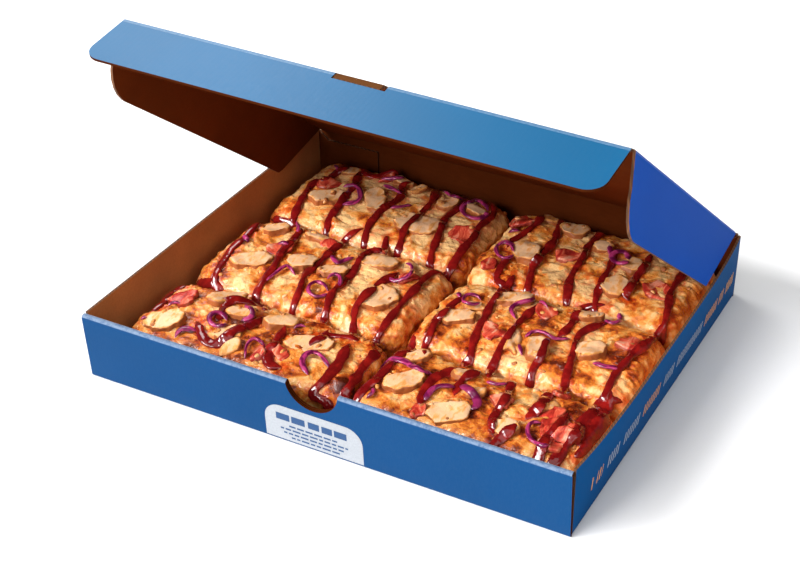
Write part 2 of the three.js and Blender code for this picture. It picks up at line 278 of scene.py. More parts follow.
# A line that leaps further than this over the food is filled in, or broken if it leaps far.
LEAP = 3.5 * MM
LONGEST_LEAP = 22 * MM
# Higher than any food.
ABOVE_FOOD = 0.1
# Where lines on the food may run: the lowest height, and the tray's inside.
ROUTE_FLOOR = 7 * MM
ROUTE_SIDE = 158 * MM
ROUTE_FRONT = -128 * MM
ROUTE_REAR = 131 * MM
# How far sauce looks for an edge to run over, and how far out and down it runs there.
RUN_REACH = 11 * MM
RUN_OUT = 1.5 * MM
RUN_DEPTH = 9 * MM
# How far sauce runs on where its far end is hidden, how far back, and over which drop.
HIDDEN_REACH = 11 * MM
HIDDEN_REAR = 128 * MM
HIDDEN_DROP = 2.5 * MM
# How a band of sauce or onion swells and thins: waves for each metre, and its share.
BAND_WAVES = 110
BAND_SWELL = 0.5
SAUCE_HEIGHT = 2.7 * MM
SAUCE_FINENESS = 0.6 * MM
# How much of a band's height is sunk into the food, how many sides its section has, and over
# how many steps its ends taper.
SAUCE_SINK = 0.25
SAUCE_SIDES = 10
SAUCE_TAPER = 4.0
STAIN_REACH = 9 * MM
ONION_HEIGHT = 2.0 * MM
ONION_SINK = 0.15
ONION_SIDES = 8
ONION_TAPER = 2.0
ONION_LIFT = 0.7 * MM
ONION_ARCH = 1.2 * MM
# How much of the skin's colour each side of a band has: the skin, plain flesh and a thick strip's.
SKIN = 0.9
FLESH = 0.15
THICK_FLESH = 0.5
# How far light goes into food.
FLESH_DEPTH = 1.5 * MM

# ---- the camera --------------------------------------------------------------------
PICTURE = (800, 561)
CAMERA_PLACE = Vector((0.3975, -0.7343, 0.5822))
CAMERA_TARGET = Vector((0.0511, -0.0276, 0.0502))
CAMERA_ROLL = math.radians(0.83)
CAMERA_LENS = 71.6
CAMERA_SHIFT = (-0.10, 0.0369)
SENSOR = 36

# ---- the lights ------------------------------------------------------------------
# Where each sun stands, and how wide it is in degrees.
SUNS = {
    "key": ((-0.62, -0.52, 0.58), 20),
    "front": ((-0.38, -0.74, 0.56), 25),
    "right": ((0.72, -0.42, 0.55), 40),
    "top": ((0.0, -0.2, 0.98), 60),
    "low": ((-0.1, -0.93, 0.36), 40),
}
SHEEN_PLACE = (-0.62, 0.42, 0.85)
SHEEN_TARGET = (-0.1, 0, 0.1)
SHEEN_SIZE = 0.5
FLOOR_HALF = 6

# ---- what lies on the food -------------------------------------------------------
# Steps along the lines below, in points of the picture frame.
ONION_STEP = 1.8
SAUCE_STEP = 2.0

# Points of the picture frame, 800 by 561, through which a trail of sauce runs.
SAUCE_TRAILS = {
    "back_left": [
        [(358, 163), (345, 168), (335, 175), (316, 182), (305, 195), (298, 207), (294, 218), (293, 224)],
        [(357, 180), (352, 190), (345, 196), (340, 205), (334, 213), (329, 222), (327, 228)],
        [(358, 163), (366, 175), (380, 177), (388, 170)],
        [(420, 180), (403, 185), (402, 195), (396, 202), (382, 209), (376, 217), (368, 228), (364, 246)],
        [(437, 184), (435, 196), (428, 207), (416, 218), (405, 228), (402, 240), (397, 255)],
        [(475, 197), (490, 203), (494, 213), (486, 222), (478, 228), (474, 238), (462, 250), (449, 272)],
        [(475, 197), (465, 203), (457, 210), (446, 218), (441, 228), (437, 240), (432, 252), (430, 262)],
    ],
    "middle_left": [
        [(270, 218), (258, 224), (245, 238), (233, 248), (225, 260), (218, 271), (215, 283), (220, 290)],
        [(272, 219), (285, 221), (293, 224)],
        [(298, 235), (290, 243), (282, 252), (277, 262), (272, 271), (263, 283), (257, 293), (256, 302)],
        [(350, 235), (343, 243), (333, 250), (325, 258), (315, 267), (305, 276), (300, 290), (292, 312)],
        [(385, 250), (370, 252), (361, 258), (357, 266), (350, 277), (340, 286), (331, 296), (323, 325)],
        [(390, 278), (378, 285), (365, 296), (357, 306), (354, 318), (353, 335)],
        [(446, 277), (437, 272), (427, 277), (418, 287), (407, 298), (395, 313), (385, 325), (373, 347)],
    ],
    "front_left": [
        [(212, 283), (190, 285), (178, 290), (168, 297), (162, 305), (150, 313)],
        [(240, 298), (230, 303), (223, 312), (215, 322)],
        [(200, 330), (204, 340), (215, 345), (225, 340), (232, 332), (245, 328), (258, 322), (262, 316)],
        [(240, 300), (262, 307), (265, 312)],
        [(279, 338), (273, 345), (268, 355), (270, 366), (283, 368)],
        [(325, 337), (312, 342), (308, 348)],
        [(345, 352), (340, 362), (330, 375), (318, 387), (312, 395), (325, 400)],
        [(335, 337), (350, 338), (360, 341)],
        [(374, 355), (365, 365), (355, 380), (347, 390)],
    ],
    "back_right": [
        [(545, 213), (535, 225), (523, 235), (512, 242), (505, 250)],
        [(505, 262), (500, 270), (496, 280), (503, 284)],
        [(567, 215), (560, 225), (555, 240), (545, 252), (535, 262), (531, 275), (528, 286)],
        [(603, 232), (595, 240), (587, 248), (582, 260), (575, 270), (570, 280), (567, 300)],
        [(615, 255), (610, 268), (603, 280), (597, 295), (595, 305)],
        [(648, 262), (640, 272), (632, 285), (625, 295), (630, 302)],
        [(683, 275), (675, 285), (670, 295), (668, 310), (664, 325)],
    ],
    "middle_right": [
        [(455, 303), (445, 312), (436, 322), (430, 335), (425, 347), (425, 357)],
        [(508, 288), (497, 296), (490, 307), (485, 318), (478, 330), (473, 345), (470, 360), (463, 368)],
        [(528, 315), (515, 327), (508, 337), (500, 350), (495, 362), (488, 378)],
        [(545, 345), (540, 358), (533, 370), (530, 382)],
        [(590, 307), (578, 310), (575, 320), (565, 332), (555, 340)],
        [(600, 325), (582, 333), (575, 345), (572, 358), (567, 375), (563, 395)],
        [(660, 333), (645, 345), (630, 358), (615, 375), (608, 390), (603, 402)],
    ],
    "front_right": [
        [(412, 350), (400, 355), (392, 363), (382, 375), (370, 385), (360, 395)],
        [(450, 373), (435, 378), (425, 390), (420, 405)],
        [(478, 372), (465, 378), (458, 388), (453, 398)],
        [(510, 388), (505, 400), (497, 412), (492, 425), (495, 435)],
        [(553, 392), (543, 402), (535, 412), (525, 420)],
        [(515, 425), (510, 430), (500, 440)],
        [(605, 402), (590, 415), (580, 425), (575, 435)],
        [(607, 412), (598, 424), (588, 434), (578, 446)],
        [(602, 426), (592, 438), (584, 450), (574, 458)],
        [(590, 418), (578, 430), (570, 442), (560, 455)],
        [(562, 422), (554, 432), (546, 440), (541, 449)],
    ],
}

# Strips of onion, by the picture frame's points along each one.
ONION_STRIPS = [
    [(314, 171), (324, 175)],
    [(331, 161), (337, 170), (340, 175)],
    [(343, 188), (355, 188), (361, 196), (358, 204), (340, 206)],
    [(381, 180), (393, 181), (405, 179)],
    [(383, 186), (393, 192), (402, 196)],
    [(390, 209), (401, 210), (412, 206)],
    [(443, 192), (455, 200), (468, 199)],
    [(243, 236), (248, 243)],
    [(296, 222), (299, 229), (297, 236)],
    [(278, 245), (290, 246)],
    [(265, 283), (276, 276), (288, 268), (296, 277)],
    [(327, 280), (335, 276), (341, 282), (338, 290)],
    [(331, 256), (338, 265), (355, 258)],
    [(388, 278), (395, 284), (410, 278), (412, 268), (405, 264)],
    [(141, 321), (147, 318)],
    [(168, 307), (180, 304)],
    [(245, 306), (253, 314), (250, 321), (240, 322)],
    [(175, 339), (182, 332), (197, 332)],
    [(245, 360), (247, 348), (256, 341), (265, 348)],
    [(308, 376), (302, 365), (308, 356), (320, 357), (330, 370)],
    [(294, 330), (301, 328), (308, 328)],
    [(366, 400), (374, 395), (372, 388)],
    [(378, 373), (390, 362), (403, 364), (415, 370), (432, 375)],
    [(486, 383), (497, 388), (508, 385)],
    [(516, 320), (510, 312), (520, 305), (535, 301)],
    [(525, 338), (535, 334), (545, 336), (555, 342), (570, 340)],
    [(605, 322), (613, 327), (620, 322), (618, 312)],
    [(592, 364), (605, 370), (620, 370)],
    [(540, 302), (548, 309)],
    [(457, 294), (461, 300)],
    [(518, 345), (522, 357)],
    [(508, 234), (520, 232)],
    [(533, 208), (538, 211), (540, 216)],
    [(592, 222), (606, 226)],
    [(609, 246), (610, 253), (611, 260)],
    [(500, 243), (515, 246)],
    [(541, 424), (531, 425), (527, 434), (531, 443), (541, 448), (549, 446)],
]
# Thick strips, drawn in the same way.
THICK_STRIPS = [
    [(424, 403), (431, 394), (440, 389), (457, 388)],
    [(459, 387), (468, 391), (475, 399), (478, 408), (470, 411)],
]
THICK_WIDTH = 4.6 * MM
# The strips and rings take these widths in turn.
ONION_WIDTHS = [2.5 * MM, 3.4 * MM, 2.2 * MM, 2.9 * MM, 3.8 * MM]
# Whole rings: centre and the two half sizes in the picture frame.
ONION_RINGS = [
    [(475, 212), 13, 9],
    [(318, 292), 10, 7.5],
    [(218, 322), 9, 7],
    [(472, 302), 9, 5],
    [(505, 253), 9, 8],
    [(620, 260), 9, 6],
]

# How much wider than elsewhere the sauce runs on a slice.
SAUCE_SPREAD = {"front_left": 1.2, "front_right": 1.25}

# Small scraps that are too small for a node: place in millimetres, length, width, turn.
SMALL_CHICKEN = [
    (-66, 111, 12, 8, 60), (75, -80, 12, 8, 28), (31, 119, 13, 9, 0), (34, -1, 13, 8, 37),
    (-29, -48, 22, 9, -66), (-76, -105, 12, 9, 38), (71, -22, 24, 9, -77), (115, -71, 14, 11, 39),
]
SMALL_BACON = [
    (-94, 117, 14, 13, 39), (-83, 22, 15, 10, 19), (-58, -103, 9, 12, 42), (-46, -97, 9, 14, 57),
    (52, -107, 10, 12, 33), (-52, 31, 10, 8, 10), (20, 47, 11, 9, 30), (118, -57, 10, 8, 60),
    (128, -86, 17, 13, 40), (137, -94, 16, 12, -20), (121, -76, 14, 11, 70), (133, -104, 14, 10, 10),
]


# ---- settings that a user would change -----------------------------------
def colour_property(name, description, default):
    return FloatVectorProperty(
        name=name, description=description, subtype="COLOR", size=3, min=0, max=1, default=default
    )


def length_property(name, description, default):
    return FloatProperty(name=name, description=description, default=default, unit="LENGTH")


def light_property(name, description, default):
    return FloatProperty(name=name, description=f"Strength of the {description}", default=default)


class CardSettings(bpy.types.PropertyGroup):
    """Colours and wear of the box."""

    printed: colour_property("Printed walls", "Blue of the front and rear walls", (0.003, 0.047, 0.148))
    # Painted light in part: the front flap's blue is set lighter than the walls' for the flap's lit upper
    # face.
    flap: colour_property("Printed flap", "Lighter blue of the lid's front flap", (0.003, 0.100, 0.234))
    side: colour_property("Printed sides", "Blue of the side walls", (0.002, 0.070, 0.230))
    # Painted light in part: the side flaps' blue is set brighter than the side walls' for flaps that face
    # away from the key light.
    side_flap: colour_property("Printed side flaps", "Deep blue of the side flaps", (0.001, 0.070, 0.42))
    plain: colour_property("Plain side", "Brown of the tray's unprinted face", (0.57, 0.215, 0.07))
    # Painted shade: the lid's inside is a much darker copy of the card's plain brown, for the shaded
    # underside of the lid.
    inside: colour_property("Lid inside", "Darker brown of the lid's unprinted face", (0.14, 0.028, 0.006))
    # Painted shade in part: the cut edges are much darker than a lit board edge, as if seen in shade.
    edge: colour_property("Cut edge", "Colour of the cut edges", (0.11, 0.045, 0.018))
    # Pale colour of worn folds, and on the front wall's roll a painted highlight as well.
    wear_and_highlight: colour_property("Worn crease", "Colour of a scuffed fold", (0.62, 0.74, 0.86))
    field: colour_property("Label field", "Pale printed field on the front wall", (0.34, 0.36, 0.39))
    accent: colour_property("Accent print", "Orange dashes on the right wall", (0.80, 0.33, 0.04))
    flute: length_property("Flute pitch", "Distance between two flutes", 3.2 * MM)


class PizzaSettings(bpy.types.PropertyGroup):
    """Colours and relief of the slices."""

    cream: colour_property("Cream", "Palest melted cheese", (0.89, 0.53, 0.22))
    pale: colour_property("Pale gold", "Pale melted cheese", (0.86, 0.37, 0.09))
    gold: colour_property("Gold", "Golden cheese", (0.74, 0.215, 0.028))
    brown: colour_property("Brown", "Toasted cheese and crust", (0.46, 0.088, 0.014))
    dark: colour_property("Dark brown", "Well toasted spots", (0.17, 0.024, 0.006))
    char: colour_property("Char", "Darkest spots", (0.10, 0.014, 0.005))
    oil: colour_property("Oil", "Orange-red oil", (0.80, 0.20, 0.07))
    blister: length_property("Blister height", "Height of the cheese blisters", 1.3 * MM)
    grain: length_property("Grain", "Height of the fine roughness", 0.4 * MM)


class ToppingSettings(bpy.types.PropertyGroup):
    """Colours of what lies on the slices."""

    chicken: colour_property("Chicken", "Cut face of the chicken", (0.93, 0.565, 0.31))
    chicken_tan: colour_property("Chicken tan", "Tanned part of the chicken", (0.80, 0.34, 0.085))
    chicken_skin: colour_property("Chicken rim", "Roasted rim and sides", (0.29, 0.068, 0.018))
    bacon: colour_property("Bacon", "Lean of the bacon", (0.50, 0.034, 0.022))
    bacon_glow: colour_property("Bacon edge", "Where lean and fat meet", (0.72, 0.125, 0.06))
    bacon_fat: colour_property("Bacon fat", "Fat of the bacon", (0.82, 0.38, 0.24))
    onion: colour_property("Onion", "Skin side of the onion", (0.14, 0.004, 0.050))
    onion_flesh: colour_property("Onion flesh", "Pale side of the onion", (0.42, 0.034, 0.145))
    sauce: colour_property("Sauce", "Glossy sauce", (0.150, 0.004, 0.005))
    sauce_thin: colour_property("Thin sauce", "Sauce where it runs thin", (0.27, 0.009, 0.007))
    sauce_width: length_property("Sauce width", "Width of a trail", 5.8 * MM)


class StageSettings(bpy.types.PropertyGroup):
    """Lights and floor."""

    key: light_property("Key light", "main light", 2.5)
    front: light_property("Front light", "light from the front", 2.35)
    right: light_property("Right light", "light from the right", 0.75)
    top: light_property("Top light", "light from above", 0.8)
    low: light_property("Low light", "light that reaches under the lid", 1.2)
    sheen: light_property("Sheen light", "panel behind", 4.5)
    sky: light_property("Surround", "white surround", 0.12)
    floor: colour_property("Floor", "Pale floor", (0.85, 0.85, 0.85))


# ---- making meshes --------------------------------------------------------
def new_piece(name, bm, materials, body, slot, smooth_angle=math.radians(40)):
    """Turns a bmesh into an object with the named materials that rides on a body."""
    mesh = bpy.data.meshes.new(name)
    bm.to_mesh(mesh)
    bm.free()
    for material in materials:
        mesh.materials.append(bpy.data.materials[material])
    piece = bpy.data.objects.new(name, mesh)
    bpy.context.scene.collection.objects.link(piece)
    shade(piece, smooth_angle)
    if body:
        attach(piece, body)
    return piece


def food_piece(name, bm, material, slot):
    """A piece of food, smooth all over, that rests in the tray."""
    return new_piece(name, bm, [material], "tray", slot, math.pi)


def shade(piece, smooth_angle):
    piece.data.polygons.foreach_set("use_smooth", [True] * len(piece.data.polygons))
    piece.data.set_sharp_from_angle(angle=smooth_angle)


def apply_modifiers(piece):
    """Makes what the modifiers show the piece's own mesh."""
    evaluated = piece.evaluated_get(bpy.context.evaluated_depsgraph_get())
    mesh = bpy.data.meshes.new_from_object(evaluated)
    piece.modifiers.clear()
    piece.data = mesh


def add_grid(bm, columns, rows, place):
    """Adds a sheet whose corner at (column, row) stands where place says."""
    last_column = len(columns) - 1
    last_row = len(rows) - 1
    made = bmesh.ops.create_grid(bm, x_segments=last_column, y_segments=last_row, size=1)["verts"]
    reach = max(vert.co.x for vert in made)
    for vert in made:
        column = round((vert.co.x / reach + 1) / 2 * last_column)
        row = round((vert.co.y / reach + 1) / 2 * last_row)
        vert.co = place(columns[column], rows[row])
    return made


def spread(low, high, count):
    """Evenly spaced values from low to high, count steps apart."""
    return [low + (high - low) * i / count for i in range(count + 1)]


def fold_path(corners, radii, steps=6):
    """The points of a folded line whose corners are turned with the given radii."""
    points = [Vector(corner) for corner in corners]
    path = [points[0]]
    for before, corner, after, radius in zip(points, points[1:], points[2:], radii):
        back = (before - corner).normalized()
        ahead = (after - corner).normalized()
        half = math.acos(max(-1, min(1, back.dot(ahead)))) / 2
        centre = corner + (back + ahead).normalized() * (radius / math.sin(half))
        arm = corner + back * (radius / math.tan(half)) - centre
        turn = math.pi - 2 * half
        if back.x * ahead.y - back.y * ahead.x > 0:
            turn = -turn
        path += [centre + Matrix.Rotation(turn * step / steps, 2) @ arm for step in range(steps + 1)]
    return path + [points[-1]]


def rounded_end(reach, radius, past):
    """How far a rounded corner reaches at so much past the start of its turn."""
    return reach - radius + math.sqrt(max(0.0, radius ** 2 - past ** 2))


def card_piece(
    name, bm, body, outward, wear_and_highlight=None, even=True, ink="card_print", inside="card_plain", edge="card_edge"
):
    """Gives a printed sheet its thickness and its three finishes."""
    outward = Vector(outward)
    bmesh.ops.remove_doubles(bm, verts=bm.verts, dist=SAME_PLACE)
    bm.normal_update()
    outermost = max(bm.faces, key=lambda face: face.calc_center_median().dot(outward) + face.calc_area())
    if outermost.normal.dot(outward) < 0:
        bmesh.ops.reverse_faces(bm, faces=bm.faces)
    layer = bm.verts.layers.float.new("crease")
    for vert in bm.verts:
        vert[layer] = wear_and_highlight(vert.co) if wear_and_highlight else 0.0
    piece = new_piece(name, bm, [ink, inside, edge], None, "printed_card")
    solid = piece.modifiers.new("Board", "SOLIDIFY")
    solid.thickness = BOARD
    solid.offset = -1
    solid.use_even_offset = even
    solid.material_offset = 1
    solid.material_offset_rim = 2
    apply_modifiers(piece)
    shade(piece, math.radians(35))
    if body:
        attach(piece, body)
    return piece


# ---- materials ------------------------------------------------------------
def tint(colour, share):
    return tuple(part * share for part in colour)


def flesh(weight, radius):
    """How much light goes a little way into food, and how far each colour of it does."""
    return {"Subsurface_Weight": weight, "Subsurface_Radius": radius, "Subsurface_Scale": FLESH_DEPTH}


class Recipe:
    """One material's node tree."""

    def __init__(self, name):
        self.material = bpy.data.materials.new(name)
        self.material.use_nodes = True
        self.tree = self.material.node_tree
        self.tree.nodes.clear()
        self.place = self.add("ShaderNodeTexCoord").outputs["Object"]

    def feed(self, socket, value):
        """Links a socket to another node's output, or gives it a value of its own."""
        if isinstance(value, bpy.types.NodeSocket):
            self.tree.links.new(value, socket)
        else:
            socket.default_value = (*value, 1) if socket.type == "RGBA" else value

    def add(self, kind, settings=None, **inputs):
        """Adds a node; each input is a value or another node's socket."""
        node = self.tree.nodes.new(kind)
        for key, value in (settings or {}).items():
            setattr(node, key, value)
        for key, value in inputs.items():
            self.feed(self.socket(node, key), value)
        return node

    @staticmethod
    def socket(node, key):
        wanted = key.replace("_", " ").lower()
        for socket in node.inputs:
            if socket.enabled and socket.name.lower() == wanted:
                return socket
        raise KeyError(f"{node.bl_idname} has no input {key}")

    def attribute(self, name):
        return self.add("ShaderNodeAttribute", {"attribute_name": name}).outputs["Fac"]

    def noise(self, scale, detail=3.0, roughness=0.5, stretch=None, offset=None, distortion=0.0):
        place = self.place
        if stretch or offset:
            mapping = self.add("ShaderNodeMapping", Vector=place)
            mapping.inputs["Scale"].default_value = stretch or (1, 1, 1)
            mapping.inputs["Location"].default_value = offset or (0, 0, 0)
            place = mapping.outputs[0]
        return self.add(
            "ShaderNodeTexNoise", Vector=place, Scale=scale, Detail=detail, Roughness=roughness,
            Distortion=distortion,
        ).outputs["Fac"]

    def flutes(self, distortion):
        """Faint ridges where the board's flutes show through its liner."""
        bands = math.tau / 20
        scale = bands / bpy.context.scene.card.flute
        return self.add(
            "ShaderNodeTexWave", {"bands_direction": "X"}, Vector=self.place, Scale=scale,
            Distortion=distortion,
        ).outputs["Fac"]

    def ramp(self, value, low=0.3, high=0.7, low_value=0.0, high_value=1.0):
        """Eases from one value to another while the input goes from low to high."""
        return self.add(
            "ShaderNodeMapRange", {"interpolation_type": "SMOOTHSTEP"}, Value=value, From_Min=low,
            From_Max=high, To_Min=low_value, To_Max=high_value,
        ).outputs[0]

    def math(self, operation, first, second=0.0):
        node = self.add("ShaderNodeMath", {"operation": operation})
        for socket, value in zip(node.inputs, (first, second)):
            self.feed(socket, value)
        return node.outputs[0]

    def ruffle(self, value, texture, reach, low=0.3, high=0.7):
        """Lets a texture swing a value by so much to either side."""
        return self.math("ADD", value, self.ramp(texture, low, high, -reach, reach))

    def mix(self, factor, first, second, blend="MIX"):
        node = self.add("ShaderNodeMix", {"data_type": "RGBA", "blend_type": blend})
        for index, value in ((0, factor), (6, first), (7, second)):
            self.feed(node.inputs[index], value)
        return node.outputs[2]

    def varied(self, texture, colour, low, high=1.0):
        """A colour that a texture shifts between two shares of itself."""
        return self.mix(self.ramp(texture), tint(colour, low), tint(colour, high))

    def colours(self, value, stops):
        """Turns a value into a colour by a list of stops."""
        node = self.add("ShaderNodeValToRGB", Fac=value)
        while len(node.color_ramp.elements) < len(stops):
            node.color_ramp.elements.new(0.5)
        for element, (place, colour) in zip(node.color_ramp.elements, stops):
            element.position = place
            element.color = (*colour, 1)
        return node.outputs[0]

    def relief(self, *layers):
        """Bumps on one another: each is a height, its distance in metres and its strength."""
        inputs = {}
        for height, distance, strength in layers:
            bump = self.add("ShaderNodeBump", Height=height, Distance=distance, Strength=strength, **inputs)
            inputs = {"Normal": bump.outputs[0]}
        return inputs["Normal"]

    def finish(self, **inputs):
        shader = self.add("ShaderNodeBsdfPrincipled", **inputs)
        self.add("ShaderNodeOutputMaterial", Surface=shader.outputs[0])
        return self.material


def printed_card_material(card, name, ink, gloss):
    """Printed board: even ink over faint flutes, scuffed where it is folded; on the front wall's roll the
    pale scuff is also a painted highlight.
    """
    recipe = Recipe(name)
    fibre = recipe.noise(900, 3, 0.6, stretch=(1, 0.35, 0.35))
    colour = recipe.varied(recipe.noise(9, 2), ink, 0.94, 1.06)
    colour = recipe.mix(recipe.ramp(fibre, 0.35, 0.7, 0, 0.006), colour, card.wear_and_highlight)
    scuff = recipe.ramp(recipe.noise(420, 4, 0.7), 0.25, 0.6, 0.35, 1.0)
    # Folds take the pale worn colour: wear, and along the front wall's roll a painted highlight too.
    colour = recipe.mix(recipe.math("MULTIPLY", recipe.attribute("crease"), scuff), colour, card.wear_and_highlight)
    return recipe.finish(
        Base_Color=colour, Roughness=recipe.ramp(fibre, 0.2, 0.8, 0.38, 0.46), IOR=gloss,
        Normal=recipe.relief((recipe.flutes(0.4), 0.02 * MM, 0.5), (fibre, 0.03 * MM, 0.5)),
    )


def plain_card_material(name, brown):
    """Unprinted board: fibres over faint flutes."""
    recipe = Recipe(name)
    fibre = recipe.noise(700, 4, 0.7, stretch=(0.25, 1, 1))
    colour = recipe.varied(recipe.noise(22, 3), brown, 0.88, 1.1)
    colour = recipe.mix(recipe.ramp(fibre, 0.35, 0.75, 0, 0.3), colour, tint(brown, 0.6))
    return recipe.finish(
        Base_Color=colour, Roughness=0.86, IOR=1.05,
        Normal=recipe.relief((recipe.flutes(0.6), 0.05 * MM, 0.6), (fibre, 0.04 * MM, 0.6)),
    )


def cut_edge_material(card):
    """The board's cut edge, with a hollow at each flute."""
    recipe = Recipe("card_edge")
    split = recipe.add("ShaderNodeSeparateXYZ", Vector=recipe.place)
    along = recipe.math("ADD", split.outputs[0], split.outputs[1])
    wave = recipe.math("SINE", recipe.math("MULTIPLY", along, math.tau / card.flute))
    hollow = recipe.ramp(wave, 0.1, 0.8)
    colour = recipe.varied(recipe.noise(1200, 3, 0.7), card.edge, 0.8)
    # Painted shade: each flute's hollow is darkened towards a dark brown.
    colour = recipe.mix(recipe.math("MULTIPLY", hollow, 0.6), colour, tint(card.plain, 0.4))
    return recipe.finish(Base_Color=colour, Roughness=0.9, Normal=recipe.relief((hollow, -0.2 * MM, 0.8)))


def flat_print_material(name, colour):
    """An evenly printed field."""
    recipe = Recipe(name)
    fibre = recipe.noise(900, 3, 0.6)
    return recipe.finish(
        Base_Color=recipe.varied(fibre, colour, 0.92, 1.05), Roughness=0.5,
        Normal=recipe.relief((fibre, 0.02 * MM, 0.5)),
    )


def slice_material(pizza):
    """Melted cheese and crust: the paler the less toast, with oil in patches and round the sauce."""
    recipe = Recipe("cheese_and_crust")
    blotch = recipe.noise(60, 4, 0.55, distortion=0.8)
    mottle = recipe.noise(230, 4, 0.6, distortion=0.6)
    fine = recipe.noise(800, 4, 0.7)
    oil = recipe.noise(48, 4, 0.6, offset=(0.3, 0.1, 0), distortion=1.0)
    toast = recipe.ruffle(recipe.attribute("toast"), blotch, 0.30, 0.35, 0.65)
    toast = recipe.ruffle(toast, mottle, 0.14, 0.32, 0.68)
    toast = recipe.ruffle(toast, fine, 0.05)
    cheese = recipe.colours(
        toast,
        [
            (0.0, pizza.cream), (0.20, pizza.pale), (0.46, pizza.gold), (0.68, pizza.brown),
            (0.88, pizza.dark), (1.0, pizza.char),
        ],
    )
    pooled = recipe.ramp(recipe.ruffle(oil, mottle, 0.08), 0.55, 0.68, 0, 0.6)
    soaked = recipe.ramp(recipe.ruffle(recipe.attribute("stain"), mottle, 0.25), 0.25, 0.85, 0, 0.9)
    oiled = recipe.mix(0.9, cheese, pizza.oil, "MULTIPLY")
    cheese = recipe.mix(recipe.math("MAXIMUM", pooled, soaked), cheese, oiled)
    crust = recipe.colours(
        recipe.math("ADD", toast, 0.05),
        [(0.0, pizza.pale), (0.3, pizza.gold), (0.55, pizza.brown), (0.8, pizza.dark), (1.0, pizza.char)],
    )
    side = recipe.ramp(recipe.attribute("side"), 0.2, 0.9, 0, 0.8)
    return recipe.finish(
        Base_Color=recipe.mix(side, cheese, crust), Roughness=recipe.ramp(mottle, 0.3, 0.7, 0.14, 0.36),
        Normal=recipe.relief((mottle, 1.3 * MM, 0.9), (fine, 0.4 * MM, 0.8)), IOR=1.45,
        Coat_Weight=0.3, Coat_Roughness=0.1, **flesh(0.04, (0.9, 0.4, 0.15)),
    )


def chicken_material(topping):
    """Pale cut faces with browned rims and sides."""
    recipe = Recipe("chicken_cut")
    grain = recipe.noise(280, 4, 0.6, stretch=(1, 0.4, 1))
    fine = recipe.noise(950, 4, 0.7)
    patch = recipe.noise(70, 4, 0.6)
    colour = recipe.varied(grain, topping.chicken, 0.84)
    colour = recipe.mix(recipe.ramp(patch, 0.50, 0.72, 0, 0.45), colour, topping.chicken_tan)
    browned = recipe.ruffle(recipe.attribute("rim"), grain, 0.22)
    colour = recipe.mix(recipe.ramp(browned, -0.02, 0.20), colour, topping.chicken_tan)
    roasted = recipe.ramp(recipe.ruffle(browned, fine, 0.12), 0.14, 0.72, 0, 0.9)
    return recipe.finish(
        Base_Color=recipe.mix(roasted, colour, topping.chicken_skin),
        Roughness=recipe.ramp(grain, 0.3, 0.7, 0.32, 0.5), IOR=1.42,
        Normal=recipe.relief((grain, 0.5 * MM, 0.6), (fine, 0.2 * MM, 0.7)),
        **flesh(0.08, (1.0, 0.5, 0.25)),
    )


def bacon_material(topping):
    """Streaky bacon: red lean, pale fat and crisp dark edges."""
    recipe = Recipe("bacon_cut")
    streak = recipe.noise(150, 4, 0.6, stretch=(1, 0.45, 0.7), distortion=1.2)
    fine = recipe.noise(700, 4, 0.7)
    patch = recipe.noise(90, 4, 0.6)
    colour = recipe.colours(
        streak,
        [
            (0.30, tint(topping.bacon, 0.45)), (0.44, topping.bacon), (0.55, topping.bacon_glow),
            (0.66, topping.bacon_fat),
        ],
    )
    colour = recipe.mix(recipe.ramp(patch, 0.5, 0.7, 0, 0.6), colour, tint(topping.bacon, 0.5))
    crisp = recipe.ramp(recipe.ruffle(recipe.attribute("rim"), fine, 0.25), 0.30, 0.85, 0, 0.7)
    return recipe.finish(
        Base_Color=recipe.mix(crisp, colour, tint(topping.bacon, 0.35)), Roughness=0.2, IOR=1.45,
        Normal=recipe.relief((streak, 0.8 * MM, 0.7), (fine, 0.25 * MM, 0.7)),
        **flesh(0.08, (1.0, 0.3, 0.2)),
    )


def onion_material(topping):
    """Red onion: dark skin on one side and paler flesh on the other."""
    recipe = Recipe("onion_red")
    line = recipe.noise(300, 3, 0.5)
    skin = recipe.math("ADD", recipe.attribute("skin"), recipe.math("MULTIPLY", line, 0.5))
    return recipe.finish(
        Base_Color=recipe.mix(recipe.ramp(skin, 0.45, 1.0), topping.onion_flesh, topping.onion),
        Roughness=0.28, Normal=recipe.relief((line, 0.12 * MM, 0.5)),
        Coat_Weight=0.3, Coat_Roughness=0.15, **flesh(0.2, (1.0, 0.4, 0.6)),
    )


def sauce_material(topping):
    """Glossy dark sauce, lighter where it runs thin."""
    recipe = Recipe("sauce_dark")
    thin = recipe.ramp(recipe.noise(150, 4, 0.6), 0.42, 0.68)
    ripple = recipe.noise(260, 3)
    fine = recipe.noise(900, 3)
    return recipe.finish(
        Base_Color=recipe.mix(thin, topping.sauce, topping.sauce_thin), Roughness=0.16, IOR=1.25,
        Normal=recipe.relief((ripple, 0.3 * MM, 0.5), (fine, 0.06 * MM, 0.5)),
        Coat_Weight=1.0, Coat_Roughness=0.06,
    )


